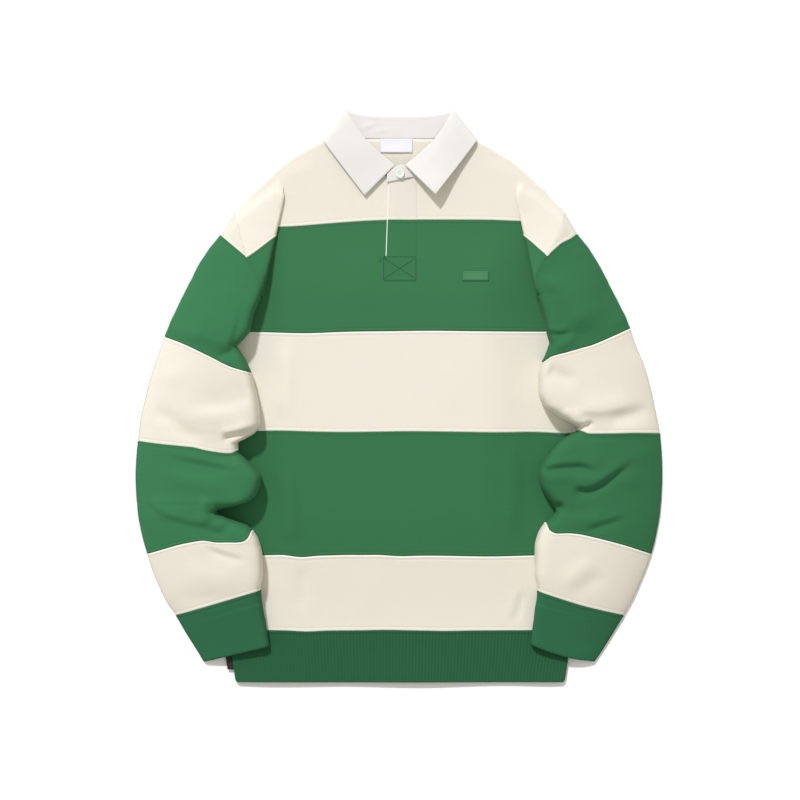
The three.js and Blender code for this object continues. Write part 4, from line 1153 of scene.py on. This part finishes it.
def build_sleeve(side):
    grid, marks = sleeve_grid(side)
    grid[..., 0] *= side
    word = "left" if side == LEFT else "right"
    for name, first, last in marks:
        node = f"sleeve_{word}_{name}"
        part = draw_in(grid[first:last + 1], SEAM_GAP, 0 if name == "cuff" else SEAM_GAP)
        if name == "cuff":
            around, _ = runs(part)
            ribs = rib_wave(around / around[:, -1:], CUFF_RIBS, CUFF_RIB_DEPTH, 0.8)
            shell(node, part, RIB_CLOTH, CUFF, sewn=(1, 0, 0, 0), ribs=ribs)
        else:
            colour = name.split("_")[0]
            cloth = SLEEVE_CLOTHS[side][colour]
            shell(node, part, CLOTH, cloth, sewn=(1, 1, name == "green_1", 0))
    build_cap(side, f"sleeve_{word}_cap", grid[0])


CAP_TIP = (213.2, 604.5)  # where its upper layer ends at the outer edge
CAP_BACK = (600.0, 590.0)  # from here down to here it is sewn to the back
CAP_TOP = 648.4  # height of the armhole seam at its tip
CAP_ROWS = 14


def build_cap(side, node, border):
    """The cream piece of the sleeve above the first stripe border, which runs to a point."""
    columns = border[HEAD:].copy()
    columns[:, 0] *= side
    tip = len(ACROSS) + len(OUTER_TURN) // 2 - 1
    inner, outer = columns[0, :2], columns[tip, :2]
    width = np.linalg.norm(outer - inner)
    share = np.minimum(np.linalg.norm(columns[:tip + 1, :2] - inner, axis=1) / width, 1.0)
    along_seam = BORDER_AT_ARMHOLE + share * 0.985 * (CAP_TOP - BORDER_AT_ARMHOLE)
    upper_part, _ = seam_points(along_seam, side, puffed=True)
    upper_part[tip] = (*CAP_TIP, LOW_Z + FOLD)
    y = np.linspace(*CAP_BACK, len(columns) - tip - 1)
    lower_part = np.column_stack([read(BACK_ARMHOLE, y) + SEAM_GAP, y, np.full(len(y), LOW_Z)])
    seam = np.concatenate([upper_part, lower_part])
    # the piece swells with the layer around it: only the rest of its height runs straight across
    puffed = np.arange(len(columns)) <= tip
    for line in (seam, columns):
        line[:, 2] -= puffed * upper_puff(line[:, 0], line[:, 1], side)
    ramp = np.linspace(0, 1, CAP_ROWS)[:, None, None]
    grid = seam * (1 - ramp) + columns * ramp
    sunk = ease(0, 1, ramp[..., 0])
    grid[..., 2] = seam[:, 2] * (1 - sunk) + columns[:, 2] * sunk
    grid[..., 2] += puffed * upper_puff(grid[..., 0], grid[..., 1], side)
    grid[..., 0] *= side
    grid = draw_in(grid)
    shell(node, grid, CLOTH, CREAM, sewn=(0, 1, 0, 0))


# ---- collar ------------------------------------------------------------------------------------
# columns: outer edge of the fall, its turned edge, the seam to the stand, the neck seam
COLLAR_ROWS = (
    ((45.4, 628.4, 10.4), (7, 667, 9), (13, 663.5, 7.5), (19, 653, 7.5)),
    ((67, 656.5, 10), (22, 679.5, 9.2), (29, 671, 7.5), (38, 660, 7.5)),
    ((86, 681.5, 9.8), (46.7, 703, 9), (56, 694.5, 7.4), (66, 685.5, 7.4)),
    ((96, 695, 8.6), (63, 727.5, 7.4), (66, 719, 6.2), (76, 703, 6.2)),
    ((99.5, 700, 4.2), (69.3, 738, 4.3), (69, 731, 4.4), (77.5, 706.5, 4.7)),
    ((94, 697, 0.9), (66.5, 736.6, 1.9), (65.5, 731.6, 2.6), (72, 704.8, 3.2)),
    ((60, 688, 0.6), (44, 731.8, 1.5), (43.5, 727.6, 2.1), (46, 701.8, 2.7)),
    ((24, 686, 0.6), (18, 730.2, 1.5), (17.5, 726, 2.1), (18, 701.8, 2.7)),
)
LEFT_END = ((45.4, 628.4, 10.4), (7, 667, 9), (11, 664.6, 7.5), (17.5, 657.5, 7.5))
STAND_END = (
    ((2, 667.5, 9.2), (5, 650, 8.9)),
    ((-9, 662.5, 9.4), (-8, 647, 9.1)),
    ((-16.5, 655.5, 9.4), (-16.8, 645.4, 9.1)),
)


# along a section of the fall: the keys of its six points, and the places where it has columns
FALL_KEYS = (0, 0.8, 1, 1.3, 2.2, 3.2)
FALL_PLACES = np.concatenate([
    np.linspace(0, 0.7, 9)[:-1], np.linspace(0.7, 1.5, 15)[:-1], np.linspace(1.5, 3.2, 30),
])
ROWS_BETWEEN = (14, 12, 10, 8, 8, 10, 10, 8, 10, 10, 8, 8, 10, 12, 14)
END_ROWS = (4, 6, 6)
FALL_STOP = 0.7  # the fall ends this far past the seam on the stand
STAND_STOP = 0.04
# how the leaves stand up: x, y, spread and height
FALL_SWELLS = ((45, 628, 36, 10.0), (-45, 628, 30, 0.6), (-58, 682, 26, 1.6), (58, 682, 26, 1.2))
RIGHT_EDGE = ((45, 628), (67, 656), (86, 681), (97, 696))
RIGHT_EDGE_LIFT = 3.2
STAND_CREASES = (
    (((-52, 712), (-40, 719), (-28, 721)), 2.5, 2.5, 0.9, 0.9, 0.3, 0.5),
    (((-36, 706), (-24, 712), (-8, 713)), 2.2, 2.2, 0.6, 0.6, 0.3, 0.5),
)


def fall_section(outer, turn, seam, _):
    """From the seam, over the turned edge, to the fall's outer edge."""
    def beyond(end, share, drop):
        point = turn + (end - turn) * share
        point[2] = turn[2] + (end[2] - turn[2]) * drop
        return point

    stop = seam - (turn - seam) / np.linalg.norm(turn - seam) * FALL_STOP
    line = [stop, beyond(seam, 0.2, 0.75), turn, beyond(outer, 0.07, 0.6), beyond(outer, 0.5, 0.85), outer]
    return smooth(FALL_KEYS, line, FALL_PLACES)


def stand_section(*row):
    """From the seam under the fall straight to the neck's seam."""
    seam, neck = row[-2:]
    start = seam + (neck - seam) / np.linalg.norm(neck - seam) * STAND_STOP
    return start + (neck - start) * np.linspace(0, 1, 14)[:, None]


def collar_sections(build):
    """Sections all round the collar: the right half's, and their mirror images."""
    half = np.array([build(*np.array(row, float)) for row in COLLAR_ROWS])
    other = half[::-1].copy()
    other[-1] = build(*np.array(LEFT_END, float))
    other[..., 0] *= -1
    return np.concatenate([half, other])


def rows_through(sections, counts):
    """Smooth rows through the sections, with a count for each gap."""
    places = np.concatenate([k + np.arange(c) / c for k, c in enumerate(counts)] + [[len(counts)]])
    return smooth(np.arange(len(sections)), sections, places)


def build_collar():
    fall = rows_through(collar_sections(fall_section), ROWS_BETWEEN)
    x, y = fall[..., 0], fall[..., 1]
    upper = ease(5.0, 7.5, fall[..., 2])
    lift = sum(height * bell(np.hypot(x - cx, y - cy), spread) for cx, cy, spread, height in FALL_SWELLS)
    edge, _, _ = distance_to(RIGHT_EDGE, x, y)
    lift = lift + RIGHT_EDGE_LIFT * ease(60, 30, edge) * (x > 0)
    fall[..., 2] += lift * upper
    shell("collar_fall", fall, TWILL, COLLAR)
    ends = np.array([stand_section(*np.array(row, float)) for row in STAND_END[::-1]])
    sections = np.concatenate([ends, collar_sections(stand_section)])
    stand = rows_through(sections, END_ROWS + ROWS_BETWEEN)
    z = stand[..., 2]
    z += creases(stand[..., 0], stand[..., 1], STAND_CREASES) * (z < 6)
    shell(
        "collar_stand", stand, TWILL, COLLAR,
        sewn=(0, 0, 1, 1),
    )


# ---- placket, labels and button ----------------------------------------------------------------
PLACKET = (-17.0, 21.0, 517.0, 650.0)  # left, right, lowest and highest edge
SLANT = 3.2  # how far its left edge leans in toward the neck, and the heights between which it does
SLANT_RUN = (552.0, 644.0)
PLACKET_HEIGHT = 1.4  # its outside over the front at its open left edge
FACING_WALL = 0.6
PATCH_LIFT = 0.08
BOX_STITCHES = (
    ((-21, 549), (20.5, 549)), ((-21, 519), (20.5, 519)), ((-20, 547), (19.5, 521)),
    ((-20, 521), (19.5, 547)), ((-21, 549), (-21, 519)), ((20.5, 549), (20.5, 519)), ((-25, 549), (-25, 542)),
)
CREAM_STITCHES = ((-11.5, 648), (-12.5, 599))


def front_top(x, y):
    """Height of the front's outer surface."""
    return front_z(np.abs(x), y) + CLOTH / 2 + body_relief(x, y)


def slant_at(y):
    return SLANT * np.clip((y - SLANT_RUN[0]) / (SLANT_RUN[1] - SLANT_RUN[0]), 0, 1)


def placket_rise(x, y):
    """How far the placket's outside stands over the front: full at its open left edge, flush elsewhere."""
    left, right, bottom, _ = PLACKET
    edge = left + slant_at(y)
    across = ease(edge - 2.5, edge - 0.3, x) * (1 - 0.96 * ease(-8, right - 3, x)) * (x <= right + 0.5)
    return 0.06 + PLACKET_HEIGHT * across * ease(bottom - 1, SLANT_RUN[0], y)


def patch(
    node, box, wall, material, rise=None, lift=PATCH_LIFT, steps=(40, 60), sewn=(0, 0, 0, 0), slanted=1,
):
    """A piece that follows the front, moved out past its wall."""
    left, right, bottom, top = box
    x, y = np.meshgrid(np.linspace(left, right, steps[0]), np.linspace(bottom, top, steps[1]))
    x = x + slanted * slant_at(y) * (right - x) / (right - left)
    above = rise(x, y) if rise else lift + wall
    grid = np.stack([x, y, front_top(x, y) + above - wall / 2], axis=-1)
    shell(node, grid, wall, material, sewn=sewn)


def build_placket():
    left, right, bottom, top = PLACKET
    seam = STRIPES[3]
    for node, low_y, high_y, cloth, slot, sewn in (
        ("placket_cream", seam + SEAM_GAP, top, CREAM_BODY, "fleece_cream", (1, 0, 0, 0)),
        ("placket_green", bottom, seam - SEAM_GAP, GREEN_CHEST, "fleece_green", (0, 1, 0, 0)),
    ):
        patch(node, (left, right, low_y, high_y), PLACKET_WALL, cloth, rise=placket_rise, sewn=sewn)
    facing = (left - 1.25, left + 9.3, 550, 646)
    patch("placket_facing", facing, FACING_WALL, FACING, steps=(14, 60))
    box = [line_on_front(a, b) for a, b in BOX_STITCHES]
    stitches("placket_box_stitches", box, 2.6, 2.2, 0.5, THREAD_DARK)
    down = [line_on_front(*CREAM_STITCHES)]
    stitches("placket_cream_stitches", down, 2.8, 2.0, 0.24, THREAD_WHITE)


def line_on_front(a, b, lift=0.0):
    """Points a millimetre apart on the front, or on the placket where that is."""
    count = max(int(math.dist(a, b)), 2)
    x, y = (np.array(a) + (np.array(b) - np.array(a)) * np.linspace(0, 1, count + 1)[:, None]).T
    return np.column_stack([x, y, front_top(x, y) + placket_rise(x, y) + lift])


def ring_points(centre, across, up, sides):
    return [centre + across * math.cos(a) + up * math.sin(a) for a in 2 * math.pi * np.arange(sides) / sides]


def tube_faces(base, rings, sides):
    """Faces of a closed tube whose points start at base, ring after ring."""
    faces = []
    for ring in range(rings - 1):
        for k in range(sides):
            a, b = base + ring * sides + k, base + ring * sides + (k + 1) % sides
            faces.append((a, b, b + sides, a + sides))
    last = base + (rings - 1) * sides
    return faces + [tuple(range(base, base + sides))[::-1], tuple(range(last, last + sides))]


STITCH_SIDES = 6
STITCH_RINGS = ((-0.5, 0.05), (-0.42, 0.75), (-0.2, 1.0), (0.2, 1.0), (0.42, 0.75), (0.5, 0.05))
STITCH_FLATNESS = 0.8


def stitches(name, paths, pitch, length, radius, material):
    """A run of single stitches along each path, as one mesh of short round-ended threads."""
    points, faces = [], []
    for path in paths:
        run = run_of(path)
        for middle in np.arange(pitch / 2, run[-1], pitch):
            ends = np.array([middle - length / 2, middle + length / 2])
            a, b = np.column_stack([np.interp(ends, run, path[:, k]) for k in range(3)])
            size = np.linalg.norm(b - a)
            if size < length * 0.5:
                continue
            along = (b - a) / size
            across = np.cross(along, (0, 0, 1.0))
            across /= np.linalg.norm(across)
            up = np.cross(across, along)
            faces += tube_faces(len(points), len(STITCH_RINGS), STITCH_SIDES)
            for t, share in STITCH_RINGS:
                # its ends dive into the cloth
                sink = up * radius * (0.1 - 0.8 * (2 * t) ** 4)
                centre = (a + b) / 2 + along * t * length + sink
                wide = radius * share
                points += ring_points(centre, across * wide, up * STITCH_FLATNESS * wide, STITCH_SIDES)
    return make_piece(name, points, faces, material)


def threads(name, paths, radius, material, sides=8):
    """Round threads along open paths, as one mesh."""
    points, faces = [], []
    for path in paths:
        along = np.gradient(path, axis=0)
        along /= np.linalg.norm(along, axis=1, keepdims=True)
        across = np.cross(along, (0, 0, 1.0))
        across /= np.linalg.norm(across, axis=1, keepdims=True)
        faces += tube_faces(len(points), len(path), sides)
        for centre, a, b in zip(path, across, np.cross(across, along)):
            points += ring_points(centre, radius * a, radius * b, sides)
    return make_piece(name, points, faces, material)


NECK_LABEL = (-25.0, 16.0, 684.0, 701.5)
CHEST_LABEL = (81.0, 113.5, 518.6, 530.0)
NECK_LABEL_WALL, CHEST_LABEL_WALL, SIDE_LABEL_WALL = 0.5, 1.4, 0.4
CHEST_STITCHES = ((82.3, 519.9), (112.2, 519.9), (112.2, 528.7), (82.3, 528.7), (82.3, 519.9))
# the side label's loop: step in x from the rib's left side, and height
SIDE_LOOP = ((0.6, 4.1), (-3, 4.3), (-6.8, 4.0), (-7.6, 3.5), (-6.8, 3.0), (-3, 2.9), (0.6, 3.0))


def build_labels():
    left, right, bottom, top = NECK_LABEL
    x, y = np.meshgrid(np.linspace(left, right, 30), np.linspace(bottom, top, 18))
    bow = 0.7 * np.cos(math.pi * (x - (left + right) / 2) / (right - left)) * (1 - ease(684, 698, y))
    bow += 0.5 * (1 - ease(684, 700, y))
    on_back = CLOTH + COLLAR_LIFT
    grid = np.stack([x, y, on_back + 0.75 + bow], axis=-1)
    shell("neck_label", grid, NECK_LABEL_WALL, LABEL_WHITE)
    line = np.array([(x, 700.3, on_back + 1.05) for x in np.linspace(-24, 15, 40)])
    stitches("neck_label_stitches", [line], 2.4, 1.7, 0.18, THREAD_WHITE)
    patch(
        "chest_label", CHEST_LABEL, CHEST_LABEL_WALL, LABEL_GREEN,
        lift=0.15, steps=(30, 14), slanted=0,
    )
    lines = [line_on_front(a, b, lift=1.5) for a, b in zip(CHEST_STITCHES, CHEST_STITCHES[1:])]
    stitches("chest_label_stitches", lines, 1.9, 1.4, 0.2, THREAD_GREEN)
    # the side label is a folded loop, caught in the side of the rib
    levels = np.linspace(18, 35, 12)
    loops = [[(step - side_at(level), level, z) for step, z in SIDE_LOOP] for level in levels]
    last = len(SIDE_LOOP) - 1
    grid = np.stack([smooth(np.arange(last + 1), loop, np.linspace(0, last, 25)) for loop in loops])
    shell("side_label", grid, SIDE_LABEL_WALL, LABEL_BLACK)


BUTTON = np.array([0.0, 656.0, 10.35])  # its underside's middle
BUTTON_RADIUS = 5.7
BUTTON_SIDES = 64
# its section from the axis below to the axis above: share of the radius, and height
BUTTON_SECTION = (
    (0, 0), (0.5, 0), (0.86, 0.02), (0.97, 0.25), (1.0, 0.6), (1.0, 1.1), (0.985, 1.6), (0.95, 1.95),
    (0.89, 2.12), (0.82, 2.1), (0.76, 1.95), (0.72, 1.7), (0.68, 1.58), (0.5, 1.5), (0.2, 1.5), (0, 1.5),
)
HOLE_RADIUS = 0.62
HOLE_OFF = 1.1  # from the middle, both ways
THREAD_TOP = 1.7


def build_button():
    """A moulded button with a raised rim, its four holes and the thread through them."""
    points, faces, rings = [], [], []
    for share, z in BUTTON_SECTION:
        count = BUTTON_SIDES if share else 1
        rings.append(range(len(points), len(points) + count))
        wide = share * BUTTON_RADIUS
        points += ring_points(BUTTON + (0, 0, z), np.array([wide, 0, 0]), np.array([0, wide, 0]), count)
    for a, b in zip(rings, rings[1:]):
        for k in range(BUTTON_SIDES):
            after = (k + 1) % BUTTON_SIDES
            loop = (a[k % len(a)], a[after % len(a)], b[after % len(b)], b[k % len(b)])
            faces.append(tuple(dict.fromkeys(loop)))
    piece = make_piece("button_disc", points, faces, PEARL, ["button"])
    for i in (-1, 1):
        for j in (-1, 1):
            drill(piece, BUTTON + (HOLE_OFF * i, HOLE_OFF * j, 0), HOLE_RADIUS)
    turn_out(piece.data)
    piece.data.uv_layers.new(name="cloth")
    t = np.linspace(-1, 1, 14)
    z = BUTTON[2] + THREAD_TOP - 0.5 * t**4
    loops = [
        np.column_stack([BUTTON[0] + HOLE_OFF * t, np.full(14, BUTTON[1] + HOLE_OFF * j), z]) for j in (-1, 1)
    ]
    threads("button_thread", loops, 0.34, THREAD_WHITE)


def drill(piece, place, radius, below=-1.0, above=3.0, sides=20):
    """Cuts a round hole up through a piece."""
    across, up = np.array([radius, 0, 0]), np.array([0, radius, 0])
    points = []
    for z in (below, above):
        points += ring_points(place + (0, 0, z), across, up, sides)
    mesh = bpy.data.meshes.new("cutter")
    mesh.from_pydata(((np.array(points) + SHIFT) / 1000).tolist(), [], tube_faces(0, 2, sides))
    cutter = bpy.data.objects.new("cutter", mesh)
    bpy.context.collection.objects.link(cutter)
    cut = piece.modifiers.new("hole", "BOOLEAN")
    cut.operation = "DIFFERENCE"
    cut.solver = "EXACT"
    cut.object = cutter
    graph = bpy.context.evaluated_depsgraph_get()
    graph.update()
    result = bpy.data.meshes.new_from_object(piece.evaluated_get(graph))
    piece.modifiers.clear()
    work = bmesh.new()
    work.from_mesh(result)
    work.to_mesh(piece.data)
    work.free()
    bpy.data.meshes.remove(result)
    bpy.data.objects.remove(cutter)


# ---- surroundings ------------------------------------------------------------------------------
FLOOR_HALF = 6.0  # metres
FLOOR_Z = -0.0003
WORLD_COLOUR, WORLD_STRENGTH = (1.0, 0.965, 0.9, 1), 0.63
SUN_COLOUR, SUN_STRENGTH, SUN_SIZE = (1.0, 1.0, 1.05), 2.5, math.radians(4)
SUN_HEIGHT = math.radians(43)
SUN_HEADING = math.atan2(0.93, -0.37)  # the light stands beyond the collar, to the left
LENS, SENSOR = 110, 36
SPAN = 1.032  # metres that the picture shows across, at the surface
VIEW_Y = 365.0  # height on the shirt that the camera stands over


def build_stage():
    mesh = bpy.data.meshes.new("floor")
    corners = [(x * FLOOR_HALF, y * FLOOR_HALF, 0) for x, y in ((-1, -1), (1, -1), (1, 1), (-1, 1))]
    mesh.from_pydata(corners, [], [(0, 1, 2, 3)])
    floor = bpy.data.objects.new("floor", mesh)
    floor.location.z = FLOOR_Z
    bpy.context.collection.objects.link(floor)
    n = Nodes("pale_floor")
    n.set_shader(Base_Color=(0.96, 0.96, 0.965, 1), Roughness=0.9, Specular_IOR_Level=0.0)
    mesh.materials.append(n.material)


def build_light():
    """One sun from beyond the collar and a plain pale sky."""
    world = bpy.data.worlds.new("studio")
    world.use_nodes = True
    sky = world.node_tree.nodes["Background"].inputs
    sky["Color"].default_value = WORLD_COLOUR
    sky["Strength"].default_value = WORLD_STRENGTH
    bpy.context.scene.world = world
    sun = bpy.data.lights.new("key", "SUN")
    sun.energy = SUN_STRENGTH
    sun.color = SUN_COLOUR
    sun.angle = SUN_SIZE
    key = bpy.data.objects.new("key", sun)
    bpy.context.collection.objects.link(key)
    level = math.cos(SUN_HEIGHT)
    toward = Vector((level * math.cos(SUN_HEADING), level * math.sin(SUN_HEADING), math.sin(SUN_HEIGHT)))
    key.rotation_euler = toward.to_track_quat("Z", "Y").to_euler()
    bpy.context.scene.view_settings.view_transform = "Standard"


def build_camera():
    """Straight above the shirt."""
    camera = bpy.data.cameras.new("camera")
    camera.lens = LENS
    camera.sensor_width = SENSOR
    camera.clip_end = 30
    view = bpy.data.objects.new("camera", camera)
    view.location = (SHIFT[0] / 1000, (VIEW_Y + SHIFT[1]) / 1000, SPAN * LENS / SENSOR)
    bpy.context.collection.objects.link(view)
    bpy.context.scene.camera = view


def main():
    build_camera()
    build_light()
    build_stage()
    build_back()
    levels = (RIB_TOP,) + STRIPES[:3]
    for name, low_y, high_y in zip(("front_cream_3", "front_green_2", "front_cream_2"), levels, levels[1:]):
        front_band(name, low_y, high_y)
    pleated_front()
    build_hem_rib()
    build_sleeve(LEFT)
    build_sleeve(RIGHT)
    build_collar()
    build_placket()
    build_labels()
    build_button()


main()
